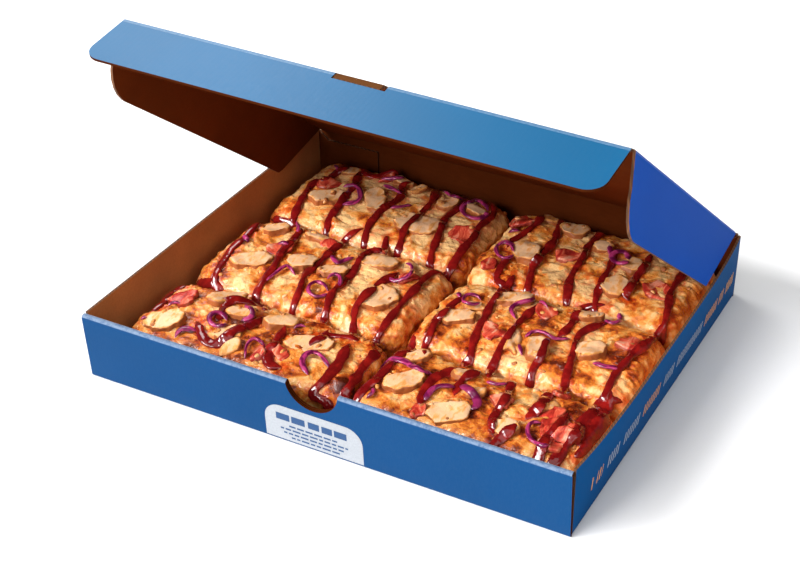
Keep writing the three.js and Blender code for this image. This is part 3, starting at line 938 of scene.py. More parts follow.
def add_materials(scene):
    """All finishes, coloured by the scene's settings."""
    card = scene.card
    for name, ink, gloss in (
        ("card_print", card.printed, 1.15), ("card_flap", card.flap, 1.35),
        ("card_side_flap", card.side_flap, 1.04), ("card_side", card.side, 1.04),
    ):
        printed_card_material(card, name, ink, gloss)
    # The lid's and the rear's insides, card_shade and the tongue's plain face are darkened copies of the
    # card's browns: painted shade, not another board.
    for name, brown, share in (
        ("card_plain", card.plain, 1), ("lid_inside", card.inside, 1), ("rear_inside", card.inside, 0.6),
        ("card_shade", card.inside, 0.4), ("tongue_plain", card.plain, 0.2),
    ):
        plain_card_material(name, tint(brown, share))
    cut_edge_material(card)
    for name, colour in (
        ("pale_field", card.field), ("orange_print", card.accent), ("white_print", PALE_DASHES),
        ("blue_print", card.printed),
    ):
        flat_print_material(name, colour)
    slice_material(scene.pizza)
    chicken_material(scene.toppings)
    bacon_material(scene.toppings)
    onion_material(scene.toppings)
    sauce_material(scene.toppings)


# ---- the tray -------------------------------------------------------------
def bow(y, z):
    """How far the right wall bulges outward."""
    return RIGHT_BOW * (1 - abs(y / HALF_DEPTH) ** BOW_FLATNESS) * z / HEIGHT


def notch_edge(x):
    """Height of the thumb notch's cut edge at x."""
    return NOTCH_CENTRE - math.sqrt(NOTCH_RADIUS ** 2 - x * x)


def add_tray_base():
    """The tray's floor."""
    bm = bmesh.new()
    x = HALF_WIDTH - FOOT_RADIUS
    y = HALF_DEPTH - FOOT_RADIUS
    add_grid(bm, spread(-x, x, 8), spread(-y, y, 8), lambda a, b: Vector((a, b, 0)))
    return card_piece("tray_base", bm, "tray", (0, 0, -1))


def add_tray_front():
    """Outer panel, rolled top and inner panel as one folded sheet with the notch in both panels."""
    top = -HALF_DEPTH - FRONT_LEAN
    path = fold_path(
        [
            (-HALF_DEPTH + FOOT_RADIUS, 0), (-HALF_DEPTH, 0), (top, HEIGHT), (top + ROLL_WIDTH, HEIGHT),
            (-HALF_DEPTH + INNER_PANEL_FOOT, BOARD + INNER_PANEL_GAP),
        ],
        [FOOT_RADIUS, ROLL_RADIUS, ROLL_RADIUS],
    )
    # Each corner is turned in seven points.
    foot, roll, inner_foot = path[:8], path[8:22], path[22]
    reach = NOTCH_RADIUS * math.sin(math.acos((NOTCH_CENTRE - roll[0].y) / NOTCH_RADIUS))
    swing = math.asin(reach / NOTCH_RADIUS)
    in_notch = [NOTCH_RADIUS * math.sin(angle) for angle in spread(-swing, swing, 20)]
    left = [-HALF_WIDTH, -120 * MM, -80 * MM, -40 * MM]
    right = [-x for x in reversed(left)]
    across = left + in_notch + right
    last_foot = len(foot) - 1
    last_roll = len(roll) - 1

    def up_panel(x, start, end, share):
        """The point at a share of a panel's height, which is less in the notch."""
        top = min(notch_edge(x), end.y) if abs(x) < reach - HAIR else end.y
        return start.lerp(end, share * (top - start.y) / (end.y - start.y))

    def outer(x, step):
        if step <= last_foot:
            return Vector((x, *foot[step]))
        return Vector((x, *up_panel(x, foot[-1], roll[0], (step - last_foot) / 4)))

    def rolled(x, step):
        return Vector((max(-ROLL_HALF, min(ROLL_HALF, x)) if step else x, *roll[step]))

    def inside(x, step):
        limit = ROLL_HALF if step == 4 else INNER_PANEL_HALF
        return Vector((max(-limit, min(limit, x)), *up_panel(x, inner_foot, roll[-1], step / 4)))

    bm = bmesh.new()
    add_grid(bm, across, range(last_foot + 5), outer)
    add_grid(bm, left + [-reach], range(last_roll + 1), rolled)
    add_grid(bm, [reach] + right, range(last_roll + 1), rolled)
    add_grid(bm, across, range(5), inside)
    bmesh.ops.remove_doubles(bm, verts=bm.verts, dist=SAME_PLACE)
    bmesh.ops.recalc_face_normals(bm, faces=bm.faces)
    middle = (roll[0].x + roll[-1].x) / 2

    # Painted highlight and wear: the roll's top is pale, fully behind its middle and a quarter in front.
    def wear_and_highlight(co):
        if co.z < HEIGHT - ROLL_RADIUS * 0.9:
            return 0.0
        return ROLL_WEAR_AND_HIGHLIGHT if co.y > middle + ROLL_PALE_START else ROLL_SCUFF_AND_HIGHLIGHT

    return card_piece("tray_front", bm, "tray", (0, -1, 0), wear_and_highlight, inside="card_shade", edge="card_shade")


def add_tray_side(side):
    """A side wall with its rounded foot; the right one bulges."""
    x = side * HALF_WIDTH
    path = fold_path([(x - side * FOOT_RADIUS, 0), (x, 0), (x, HEIGHT)], [FOOT_RADIUS])

    def place(y, point):
        push = bow(y, point.y) if side > 0 else 0
        return Vector((point.x + push, y, point.y))

    bm = bmesh.new()
    add_grid(bm, spread(-HALF_DEPTH + SIDE_WALL_START, SIDE_WALL_END, 24), path, place)
    name = "tray_right" if side > 0 else "tray_left"
    return card_piece(name, bm, "tray", (side, 0, 0), ink="card_side")


def add_tray_corner(side):
    """The side wall's rear end, folded round the corner and glued inside the rear wall."""
    x = side * HALF_WIDTH
    inner = HALF_DEPTH - BOARD - PAPER_GAP
    flap_end = (x - side * CORNER_FLAP_WIDTH, inner)
    path = fold_path([(x, SIDE_WALL_END), (x, inner), flap_end], [CORNER_RADIUS])
    turned = len(path) - 2
    path.insert(-1, Vector((x - side * CORNER_SLOPE, inner)))
    low_top = LOWER_CREASE.z - CORNER_DROP

    def place(step, share):
        point = path[step]
        z = share * (HEIGHT if step <= turned else low_top)
        push = bow(SIDE_WALL_END, z) if side > 0 and step < turned else 0
        return Vector((point.x + push, point.y, z))

    bm = bmesh.new()
    add_grid(bm, range(len(path)), spread(0, 1, 2), place)
    name = "tray_corner_right" if side > 0 else "tray_corner_left"
    return card_piece(name, bm, "tray", (0, 1, 0), inside="rear_inside")


def add_tray_rear():
    """The rear wall with its rounded foot."""
    path = fold_path(
        [(HALF_DEPTH - FOOT_RADIUS, 0), (HALF_DEPTH, 0), (HALF_DEPTH, LOWER_CREASE.z - CREASE_REACH)],
        [FOOT_RADIUS],
    )
    x = HALF_WIDTH - BOARD - PAPER_GAP
    bm = bmesh.new()
    add_grid(bm, spread(-x, x, 8), path, lambda a, point: Vector((a, *point)))
    return card_piece("tray_rear", bm, "tray", (0, 1, 0), inside="rear_inside")


# ---- the lid ---------------------------------------------------------------
def lid_warp(x, along):
    """The lid is a little twisted: its left front corner stands proud."""
    return LID_INWARD * (LID_SAG - LID_TWIST * (0.5 - x / LID_HALF_WIDTH / 2)) * along / LID_LENGTH


def on_lid(x, along, inward=0.0):
    """A point of the lid's outer face: across it, along it from the rear crease, and inward."""
    return HINGE + Vector((x, 0, 0)) + LID_ALONG * along + LID_INWARD * inward + lid_warp(x, along)


def on_front_flap(x, down):
    """A point of the front flap's outer face: across it, and down it from the front crease."""
    return FOLD + Vector((x, 0, 0)) + FLAP_ALONG * down + lid_warp(x, LID_LENGTH)


def side_fold(side):
    """A side flap's hinge, as an offset from the lid's middle line, and its direction down."""
    splay = RIGHT_SPLAY if side > 0 else 0.0
    down = LID_INWARD * math.cos(splay) + Vector((side, 0, 0)) * math.sin(splay)
    return Vector((side * LID_HALF_WIDTH, 0, 0)), down


def add_spine():
    """The strip between the two creases, and the two creases."""
    across = spread(-LID_HALF_WIDTH, LID_HALF_WIDTH, 8)
    low = LOWER_CREASE.z + CREASE_REACH
    high = HINGE.z - HINGE_ROOM
    lid_start = HINGE + LID_ALONG * HINGE_ROOM

    def upright(a, z):
        return Vector((a, HALF_DEPTH, z))

    def worn_crease(co):
        return LOWER_WEAR - abs(co.z - LOWER_CREASE.z) / CREASE_REACH * LOWER_WEAR

    bm = bmesh.new()
    add_grid(bm, across, [low, high], upright)
    card_piece("spine_strip", bm, "spine", (0, 1, 0), inside="rear_inside")

    bm = bmesh.new()
    add_grid(bm, across, spread(LOWER_CREASE.z - CREASE_REACH, low, 8), upright)
    crease = card_piece("lower_crease", bm, None, (0, 1, 0), worn_crease, inside="rear_inside")
    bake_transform(crease)

    path = fold_path([(HINGE.y, high), (HINGE.y, HINGE.z), (lid_start.y, lid_start.z)], [HINGE_RADIUS])
    bm = bmesh.new()
    add_grid(bm, across, path, lambda a, point: Vector((a, *point)))
    crease = card_piece("upper_crease", bm, None, (0, 1, 0.3), lambda co: UPPER_WEAR, inside="rear_inside")
    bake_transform(crease)


def add_lid_panel():
    """The lid's flat panel, from the rear crease to the front one."""
    half = LID_HALF_WIDTH - SIDE_FOLD_RADIUS
    bm = bmesh.new()
    across = [-half, -100 * MM, -50 * MM, *TONGUE, 50 * MM, 100 * MM, half]
    along = [HINGE_ROOM, *spread(20 * MM, 240 * MM, 6), LID_LENGTH - FOLD_ROOM]
    add_grid(bm, across, along, on_lid)
    return card_piece("lid_panel_card", bm, "lid", -LID_INWARD, inside="lid_inside")


def front_fold_path(down):
    """From the lid's panel round the front crease and so far down, as distances along and inward."""
    end = (LID_LENGTH + down * math.cos(FRONT_FOLD), down * math.sin(FRONT_FOLD))
    return fold_path([(LID_LENGTH - FOLD_ROOM, 0), (LID_LENGTH, 0), end], [FOLD_RADIUS])


def add_tongue():
    """The locking tongue, cut through the crease, with its plain face outward."""
    bm = bmesh.new()
    add_grid(bm, spread(*TONGUE, 8), front_fold_path(TONGUE_LENGTH), lambda x, point: on_lid(x, *point))
    # Painted shade: the tongue's outer face is the plain brown darkened to a fifth.
    return card_piece("tongue_card", bm, "lid", -LID_INWARD, ink="tongue_plain", inside="lid_inside")


def add_front_crease():
    """The crease strips on both sides of the tongue."""
    path = front_fold_path(FOLD_ROOM)
    bm = bmesh.new()
    for low, high in ((-FLAP_HALF_WIDTH, SLOT[0]), (SLOT[1], FLAP_HALF_WIDTH)):
        add_grid(bm, spread(low, high, 4), path, lambda x, point: on_lid(x, *point))
    piece = card_piece(
        "front_crease", bm, None, -LID_INWARD, lambda co: FRONT_WEAR, ink="card_flap",
        inside="lid_inside",
    )
    on_lid(0, LID_LENGTH - FOLD_ROOM)
    on_front_flap(0, FOLD_ROOM)
    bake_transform(piece)
    return piece


def add_front_flap():
    """The front flap, with a slot round the tongue and two rounded corners."""
    turn = FLAP_HALF_WIDTH - FLAP_CORNER
    turned = [turn + FLAP_CORNER * math.sin(angle) for angle in spread(0, math.pi / 2, 8)]
    right = [30 * MM, 60 * MM, 100 * MM, *turned]
    slot = [SLOT[0] - SLOT_WALL, SLOT[0], 0, SLOT[1], SLOT[1] + SLOT_WALL]
    across = [-x for x in reversed(right)] + slot + right

    def place(x, share):
        start = SLOT_DEPTH if SLOT[0] <= x <= SLOT[1] else FOLD_ROOM
        end = rounded_end(FLAP_DEPTH, FLAP_CORNER, max(0.0, abs(x) - turn))
        return on_front_flap(x, start + (end - start) * share)

    bm = bmesh.new()
    add_grid(bm, across, spread(0, 1, 5), place)
    return card_piece(
        "front_flap_card", bm, "front_flap", -FLAP_INWARD, even=False, ink="card_flap", inside="lid_inside",
        edge="card_shade",
    )


def add_side_flap(side):
    """A side flap with a slanted rear edge and a large rounded front corner, and its crease."""
    name = "side_flap_right" if side > 0 else "side_flap_left"
    taper = RIGHT_FLAP_TAPER if side > 0 else 0.0
    offset, down = side_fold(side)
    rear_top, rear_low = SIDE_FLAP_REAR_RIGHT if side > 0 else SIDE_FLAP_REAR_LEFT
    rear_end = rear_low + SIDE_FLAP_REAR_ROUND
    turn = SIDE_FLAP_FRONT - SIDE_FLAP_CORNER
    turned = [turn + SIDE_FLAP_CORNER * math.sin(a) for a in spread(math.pi / 24, math.pi / 2, 6)]
    along = [*spread(rear_top + 2 * MM, rear_low, 5), rear_end]
    along += [*spread(SIDE_FLAP_STRAIGHT, turn, 5), *turned]
    outward = Vector((side, 0, 0))

    def depth(s):
        if s < rear_low:
            return (SIDE_FLAP_DEPTH - SIDE_FLAP_REAR_RISE) * (s - rear_top) / (rear_low - rear_top)
        if s < rear_end:
            return SIDE_FLAP_DEPTH - SIDE_FLAP_REAR_RISE * (1 - (s - rear_low) / SIDE_FLAP_REAR_ROUND)
        return rounded_end(SIDE_FLAP_DEPTH, SIDE_FLAP_CORNER, max(0.0, s - turn))

    def place(s, share):
        end = max(SIDE_FOLD_RADIUS + SIDE_FLAP_LEAST, depth(s))
        deep = SIDE_FOLD_RADIUS + (end - SIDE_FOLD_RADIUS) * share
        lower = min(1.0, deep / (SIDE_FLAP_DEPTH - SIDE_FLAP_CORNER))
        tapered = s - taper * lower * (s / SIDE_FLAP_FRONT) ** TAPER_POWER
        return HINGE + offset + LID_ALONG * tapered + down * deep + lid_warp(offset.x, s)

    bm = bmesh.new()
    add_grid(bm, along, spread(0, 1, 4), place)
    flap = card_piece(
        f"{name}_card", bm, name, outward, even=False, ink="card_side_flap", inside="lid_inside"
    )
    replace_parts(flap, name)

    start = Vector((side * (LID_HALF_WIDTH - SIDE_FOLD_RADIUS), 0))
    corner = Vector((side * LID_HALF_WIDTH, 0))
    end = corner + Vector((side * down.dot(outward), down.dot(LID_INWARD))) * SIDE_FOLD_RADIUS
    path = fold_path([start, corner, end], [SIDE_CREASE_RADIUS])
    straight = [s for s in along if s < SIDE_FLAP_FRONT - 0.5 * MM]
    bm = bmesh.new()
    add_grid(bm, straight, path, lambda s, point: on_lid(point.x, s, point.y))
    crease = card_piece(
        f"{name}_crease", bm, None, outward - LID_INWARD, lambda co: SIDE_WEAR,
        ink="card_side_flap", inside="lid_inside",
    )
    on_lid(start.x, 100 * MM)
    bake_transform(crease)


# ---- print ------------------------------------------------------------------
def front_wall_point(x, z, proud):
    """A point on the front wall's printed face."""
    lean = FRONT_LEAN * z / HEIGHT
    return Vector((x, -HALF_DEPTH - lean - proud, z))


def right_wall_point(y, z, proud):
    """A point on the right wall's printed face."""
    return Vector((HALF_WIDTH + bow(y, z) + proud, y, z))


def bar(bm, start, end, low, high):
    """A printed bar on the label, given in millimetres."""
    add_grid(
        bm, [start * MM, end * MM], [low * MM, high * MM],
        lambda x, z: front_wall_point(x, z, PROUD * 2),
    )


def print_piece(name, bm, ink, outward):
    """Turns printed patches to face outward and lets them ride on the tray."""
    bm.normal_update()
    for face in bm.faces:
        if face.normal.dot(Vector(outward)) < 0:
            face.normal_flip()
    new_piece(name, bm, [ink], "tray", "printed_card")


def add_label():
    """A pale field with rounded upper corners, and plain bars where a label has its lines."""
    left, right = LABEL_SIDES
    low = FOOT_RADIUS + PAPER_GAP
    turned = [LABEL_CORNER * (1 - math.cos(a)) for a in spread(0, math.pi / 2, 8)]
    across = [left + t for t in turned]
    across += spread(left + LABEL_SHOULDER, right - LABEL_SHOULDER, 3)
    across += [right - t for t in reversed(turned)]

    def place(x, share):
        past = max(0.0, left + LABEL_CORNER - x, x - (right - LABEL_CORNER))
        high = rounded_end(LABEL_TOP, LABEL_CORNER, past)
        return front_wall_point(x, low + (high - low) * share, PROUD)

    bm = bmesh.new()
    add_grid(bm, across, spread(0, 1, 4), place)
    print_piece("label_field", bm, "pale_field", (0, -1, 0))

    bm = bmesh.new()
    for start, end in HEADING_BARS:
        bar(bm, start, end, *HEADING_LEVELS)
    generator = random.Random(5)
    for start, end, z in DASH_ROWS:
        x = start
        while x < end:
            length = generator.uniform(*DASH_LENGTHS)
            bar(bm, x, min(end, x + length), z, z + DASH_HEIGHT)
            x += length + DASH_SPACE
    print_piece("label_bars", bm, "blue_print", (0, -1, 0))


def add_wall_dashes():
    """A row of upright dashes in two colours along the right wall."""
    low, high = WALL_DASH_LEVELS

    def place(y, z):
        return right_wall_point(y + WALL_DASH_SLANT * (z - low) / (high - low), z, PROUD)

    meshes = {}
    for colour, start, end in WALL_GROUPS:
        bm = meshes.setdefault(colour, bmesh.new())
        y = start
        while y < end - WALL_DASH_ROOM:
            add_grid(bm, [y * MM, (y + WALL_DASH_WIDTH) * MM], [low, high], place)
            y += WALL_DASH_PITCH
    for colour, bm in meshes.items():
        print_piece(f"wall_dashes_{colour.split('_')[0]}", bm, colour, (1, 0, 0))


# ---- the slices -------------------------------------------------------------
def crust_point(share):
    """Inset and height, in metres, from the crown (0) to the widest ring (1)."""
    lengths = [math.dist(a, b) for a, b in zip(CRUST_TOP, CRUST_TOP[1:])]
    target = share * sum(lengths)
    for (start, end), length in zip(zip(CRUST_TOP, CRUST_TOP[1:]), lengths):
        if target <= length:
            t = target / length
            return (start[0] + (end[0] - start[0]) * t) * MM, (start[1] + (end[1] - start[1]) * t) * MM
        target -= length
    return CRUST_TOP[-1][0] * MM, CRUST_TOP[-1][1] * MM


def outline_scale(u, v):
    """How far out a direction meets a square with rounded corners."""
    return (abs(u) ** OUTLINE_POWER + abs(v) ** OUTLINE_POWER) ** (-1 / OUTLINE_POWER)


def slice_relief(point, side, settings):
    """Relief of the baked surface in metres, and how toasted it is there."""
    broad = noise.noise(point * SWELL_WAVES)
    distances, centres = noise.voronoi(point * BLISTER_WAVES)
    size = noise.cell(centres[0] * 7)
    dome = max(0.0, 1 - (distances[0] / 0.7) ** 2) * max(0.0, size)
    folds = noise.turbulence(point * FOLD_WAVES + Vector((3, 1, 7)), 2, True) - 0.6
    ripple = noise.fractal(point * RIPPLE_WAVES, 0.8, 2.1, 2)
    height = (
        broad * SWELL_HEIGHT + dome * settings.blister * 1.5 - folds * FOLD_HEIGHT * (1 + 0.3 * side)
        + ripple * settings.grain
    )
    patch = noise.noise(point * TOAST_WAVES + Vector((9, 2, 5)))
    toast = TOAST + 0.55 * patch + 0.30 * dome + 0.12 * broad + 0.35 * folds + 0.34 * side
    return height, toast


def add_slice(node, settings):
    """A slice in its node's place: rings down its section, with the relief of baked cheese."""
    low, high = (Vector(corner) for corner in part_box(node))
    base = low.z
    centre = (low + high) / 2
    half_x = (high.x - low.x) / 2
    half_y = (high.y - low.y) / 2
    columns = spread(-1, 1, 2 * round((half_x + SIDE_SHARE) / MESH_STEP))
    rows = spread(-1, 1, 2 * round((half_y + SIDE_SHARE) / MESH_STEP))

    def ring_point(u, v, inset, height):
        scale = outline_scale(u, v)
        edge = min(inset, CROWN_START * MM)
        left = 1 - max(0.0, inset / MM - CROWN_START) / (CROWN_END - CROWN_START)
        x = centre.x + (half_x - edge) * left * scale * u
        y = centre.y + (half_y - edge) * left * scale * v
        return Vector((x, y, base + height))

    def place(u, v):
        reach = max(abs(u), abs(v))
        if reach < CLOSED_MIDDLE:
            return ring_point(1, 0, CRUST_TOP[0][0] * MM, CRUST_TOP[0][1] * MM)
        inset, height = crust_point(reach ** RIM_CROWDING)
        return ring_point(u / reach, v / reach, inset, height)

    bm = bmesh.new()
    add_grid(bm, columns, rows, place)
    bmesh.ops.remove_doubles(bm, verts=bm.verts, dist=SAME_PLACE)
    rim = [edge for edge in bm.edges if edge.is_boundary]
    for inset, height in CRUST_FOOT:
        made = bmesh.ops.extrude_edge_only(bm, edges=rim)["geom"]
        rim = [item for item in made if isinstance(item, bmesh.types.BMEdge) and item.is_boundary]
        for vert in {vert for edge in rim for vert in edge.verts}:
            u = (vert.co.x - centre.x) / half_x
            v = (vert.co.y - centre.y) / half_y
            reach = max(abs(u), abs(v))
            vert.co = ring_point(u / reach, v / reach, inset * MM, height * MM)
    bmesh.ops.holes_fill(bm, edges=rim)
    bmesh.ops.recalc_face_normals(bm, faces=bm.faces)
    bm.normal_update()
    bm.verts.layers.float.new("stain")
    side_layer = bm.verts.layers.float.new("side")
    toast_layer = bm.verts.layers.float.new("toast")
    moves = []
    for vert in bm.verts:
        side = max(0.0, min(1.0, (CRUST_SIDE_TOP - (vert.co.z - base)) / CRUST_SIDE_RUN))
        height, toast = slice_relief(vert.co, side, settings)
        fade = min(1.0, max(0.0, (vert.co.z - base) / FOOT_FADE))
        vert[side_layer] = side
        # Painted light and shade: each slice's toast is shifted by its own amount.
        vert[toast_layer] = toast + SLICE_PAINTED_LIGHT.get(node, 0.0)
        moves.append((vert, vert.normal * height * fade))
    for vert, move in moves:
        vert.co += move
        vert.co.x = min(max(vert.co.x, low.x - RELIEF_ROOM), high.x + RELIEF_ROOM)
        vert.co.y = min(max(vert.co.y, low.y + FRONT_ROOM), high.y + RELIEF_ROOM)
    piece = food_piece(f"{node}_baked", bm, "cheese_and_crust", "baked_dough")
    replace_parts(piece, node)
    return piece


# ---- toppings ---------------------------------------------------------------
def rounded_lump(name, bm, voxel, softening=3):
    """Rounds a closed shape by a fine remesh; returns the mesh as a new bmesh."""
    mesh = bpy.data.meshes.new(name)
    bm.to_mesh(mesh)
    bm.free()
    piece = bpy.data.objects.new(name, mesh)
    bpy.context.scene.collection.objects.link(piece)
    remesh = piece.modifiers.new("Even faces", "REMESH")
    remesh.mode = "VOXEL"
    remesh.voxel_size = voxel
    smooth = piece.modifiers.new("Soft edges", "SMOOTH")
    smooth.factor = 0.5
    smooth.iterations = softening
    evaluated = piece.evaluated_get(bpy.context.evaluated_depsgraph_get())
    fine = bpy.data.meshes.new_from_object(evaluated)
    bpy.data.objects.remove(piece)
    result = bmesh.new()
    result.from_mesh(fine)
    bpy.data.meshes.remove(fine)
    return result


def roughen(bm, up, roughness, seed):
    """Moves the points by soft noise and notes how far each faces away from the top."""
    lateral, lift = roughness
    layer = bm.verts.layers.float.new("rim")
    shift = Vector((seed * 0.37, seed * 0.11, seed * 0.53))
    bm.normal_update()
    moves = []
    for vert in bm.verts:
        vert[layer] = 1 - max(0.0, vert.normal.dot(up))
        coarse = noise.noise(vert.co * CUT_WAVES + shift)
        fine = noise.noise(vert.co * CUT_FINE_WAVES + shift)
        outward = vert.normal - up * vert.normal.dot(up) * 0.75
        sideways = coarse * lateral + fine * lateral * 0.28
        moves.append(outward * sideways + up * noise.noise(vert.co * CUT_LIFT_WAVES - shift) * lift)
    for vert, move in zip(bm.verts, moves):
        vert.co += move


def add_cut(node, material, slot, raised, roughness, seed):
    """A topping that stands where its node is, with rounded and uneven faces."""
    name = f"cut_{node}"
    bm = bmesh.new()
    bm.from_mesh(frame["nodes"][node].data)
    bmesh.ops.remove_doubles(bm, verts=bm.verts, dist=SAME_PLACE)
    bmesh.ops.dissolve_limit(bm, angle_limit=FLAT_ANGLE, verts=bm.verts, edges=bm.edges)
    upper = [face for face in bm.faces if face.normal.z > 0]
    up = max(upper, key=lambda face: face.calc_area()).normal.copy()
    bmesh.ops.bevel(
        bm, geom=list(bm.edges), offset=CUT_ROUNDING, segments=2, profile=0.5, affect="EDGES", material=-1
    )
    bmesh.ops.translate(bm, vec=up * raised, verts=bm.verts)
    fine = rounded_lump(name, bm, CUT_FINENESS, 2)
    roughen(fine, up, roughness, seed)
    piece = food_piece(name, fine, material, slot)
    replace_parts(piece, node)


class FoodSurface:
    """What lies on top of the food, for pieces that rest on it."""

    def __init__(self):
        bm = bmesh.new()
        for piece in bpy.context.scene.objects:
            if piece.name.endswith("_baked") or piece.name.startswith(("cut_", "scrap_")):
                bm.from_mesh(piece.data)
        self.tree = BVHTree.FromBMesh(bm)
        bm.free()

    def seen(self, u, v):
        """The place and normal that the camera sees through a picture point."""
        return self.tree.ray_cast(CAMERA_PLACE, sight_line(u, v))[:2]

    def under(self, x, y):
        """The place and normal of the topmost food at x and y."""
        return self.tree.ray_cast(Vector((x, y, ABOVE_FOOD)), -UP)[:2]

    def between(self, start, end, gap):
        """Points on the food below a straight line."""
        found = []
        for share in spread(0, 1, math.ceil(gap / LEAP) + 1)[1:-1]:
            point = start.lerp(end, share)
            place, normal = self.under(point.x, point.y)
            if place is not None and place.z > min(start.z, end.z) - LEAP:
                found.append((place, normal))
        return found


def camera_rotation():
    """How the camera is turned to look at its target."""
    look = (CAMERA_TARGET - CAMERA_PLACE).to_track_quat("-Z", "Y")
    return look.to_matrix() @ Matrix.Rotation(CAMERA_ROLL, 3, "Z")


def sight_line(u, v):
    """Direction from the camera through a point of the picture frame."""
    width, height = PICTURE
    focal = CAMERA_LENS / SENSOR * width
    x = (u - (width / 2 - CAMERA_SHIFT[0] * width)) / focal
    y = ((height / 2 + CAMERA_SHIFT[1] * width) - v) / focal
    return (camera_rotation() @ Vector((x, y, -1))).normalized()


def smooth_line(points, step):
    """An even, rounded line through the points (Catmull and Rom's curve)."""
    ends = [points[0] * 2 - points[1]] + list(points) + [points[-1] * 2 - points[-2]]
    dense = []
    for a, b, c, d in zip(ends, ends[1:], ends[2:], ends[3:]):
        bend = 2 * a - 5 * b + 4 * c - d
        twist = 3 * b - a - 3 * c + d
        for t in spread(0, 1, 12)[:-1]:
            dense.append(0.5 * ((2 * b) + (c - a) * t + bend * t ** 2 + twist * t ** 3))
    dense.append(Vector(points[-1]))
    even = [dense[0]]
    travelled = 0.0
    for before, after in zip(dense, dense[1:]):
        travelled += (after - before).length
        if travelled >= step:
            even.append(after)
            travelled = 0.0
    if len(even) < 3:
        even.append(dense[-1])
    return even


def ease(points, rounds):
    """Evens out a route without moving its ends."""
    for _ in range(rounds):
        eased = [(a + b * 2 + c) / 4 for a, b, c in zip(points, points[1:], points[2:])]
        points = [points[0], *eased, points[-1]]
    return points


def on_food(place):
    """Whether a line on the food may run through a place."""
    if place is None or place.z < ROUTE_FLOOR:
        return False
    return abs(place.x) <= ROUTE_SIDE and ROUTE_FRONT < place.y < ROUTE_REAR


def resting_routes(surface, picture_points, step):
    """Routes on the food's surface under a line of the picture frame, broken where the line leaps far."""
    routes = [[]]
    for u, v in smooth_line([Vector(point) for point in picture_points], step):
        place, normal = surface.seen(u, v)
        if not on_food(place):
            continue
        if routes[-1]:
            before = routes[-1][-1][0]
            gap = (place - before).length
            if gap > LONGEST_LEAP:
                routes.append([])
            elif gap > LEAP:
                routes[-1] += surface.between(before, place, gap)
        routes[-1].append((place, normal))
    return [route for route in routes if len(route) > 3]


def heading(end, behind):
    """The level direction in which a route would run on past its end."""
    direction = end - behind
    direction.z = 0
    return direction.normalized()


def extended_route(surface, route):
    """Carries a route on over the far edge, where the food hides its end."""
    start = route[0][0]
    direction = heading(start, route[min(3, len(route) - 1)][0])
    extra = []
    for share in spread(0, 1, 5)[1:]:
        point = start + direction * HIDDEN_REACH * share
        place, normal = surface.under(point.x, point.y)
        before = extra[-1][0] if extra else start
        if place is None or place.y > HIDDEN_REAR or before.z - place.z > HIDDEN_DROP:
            break
        extra.append((place, normal))
    return list(reversed(extra)) + route


def run_down(surface, route):
    """Carries a route that ends near an edge on over it and down the side."""
    end = route[-1][0]
    direction = heading(end, route[-min(4, len(route))][0])
    extra = []
    for share in spread(0, 1, 8)[1:]:
        point = end + direction * RUN_REACH * share
        place, normal = surface.under(point.x, point.y)
        before = (extra or route)[-1][0]
        if place is None or before.z - place.z > LEAP:
            foot = before + direction * RUN_OUT - UP * RUN_DEPTH
            side = (direction + UP * 0.3).normalized()
            extra += [(before.lerp(foot, t), side) for t in spread(0, 1, 5)[1:]]
            return route + extra
        extra.append((place, normal))
    return route


def sweep(bm, route, width, height, sink, seed, sides, taper):
    """A closed band along a route, wider than high, that lies on the surface."""
    places, normals = zip(*route)
    places = ease(places, 3)
    count = len(places) - 1

    def place(step, side):
        before = places[max(0, step - 1)]
        after = places[min(count, step + 1)]
        tangent = (after - before).normalized()
        up = normals[max(0, step - 2)] + normals[step] + normals[min(count, step + 2)] + UP
        up = (up - tangent * up.dot(tangent)).normalized()
        across = tangent.cross(up)
        angle = math.tau * side / sides
        swell = 1 + BAND_SWELL * noise.noise(places[step] * BAND_WAVES + Vector((seed, 0, 0)))
        cap = max(0.05, min(1.0, min(step, count - step) / taper) ** 0.6)
        wide = width / 2 * swell * cap
        tall = height / 2 * cap
        rise = tall * (1 - 2 * sink)
        return places[step] + across * math.cos(angle) * wide + up * (math.sin(angle) * tall + rise)

    return add_grid(bm, range(count + 1), range(sides + 1), place)


def add_cuts():
    """The cuts of meat that have nodes of their own."""
    for index, node in enumerate(CHICKEN):
        add_cut(node, "chicken_cut", "roast_meat", CHICKEN_RAISE, CHICKEN_ROUGHNESS, index)
    for index, node in enumerate(BACON):
        add_cut(node, "bacon_cut", "cured_meat", BACON_RAISE, BACON_ROUGHNESS, index + 50)


def lying(spot, normal, turn, sizes):
    """The matrix that lays a ball with the given half sizes on a surface."""
    tilt = UP.rotation_difference(normal).to_matrix().to_4x4()
    return Matrix.Translation(spot) @ tilt @ Matrix.Rotation(turn, 4, "Z") @ Matrix.Diagonal((*sizes, 1))


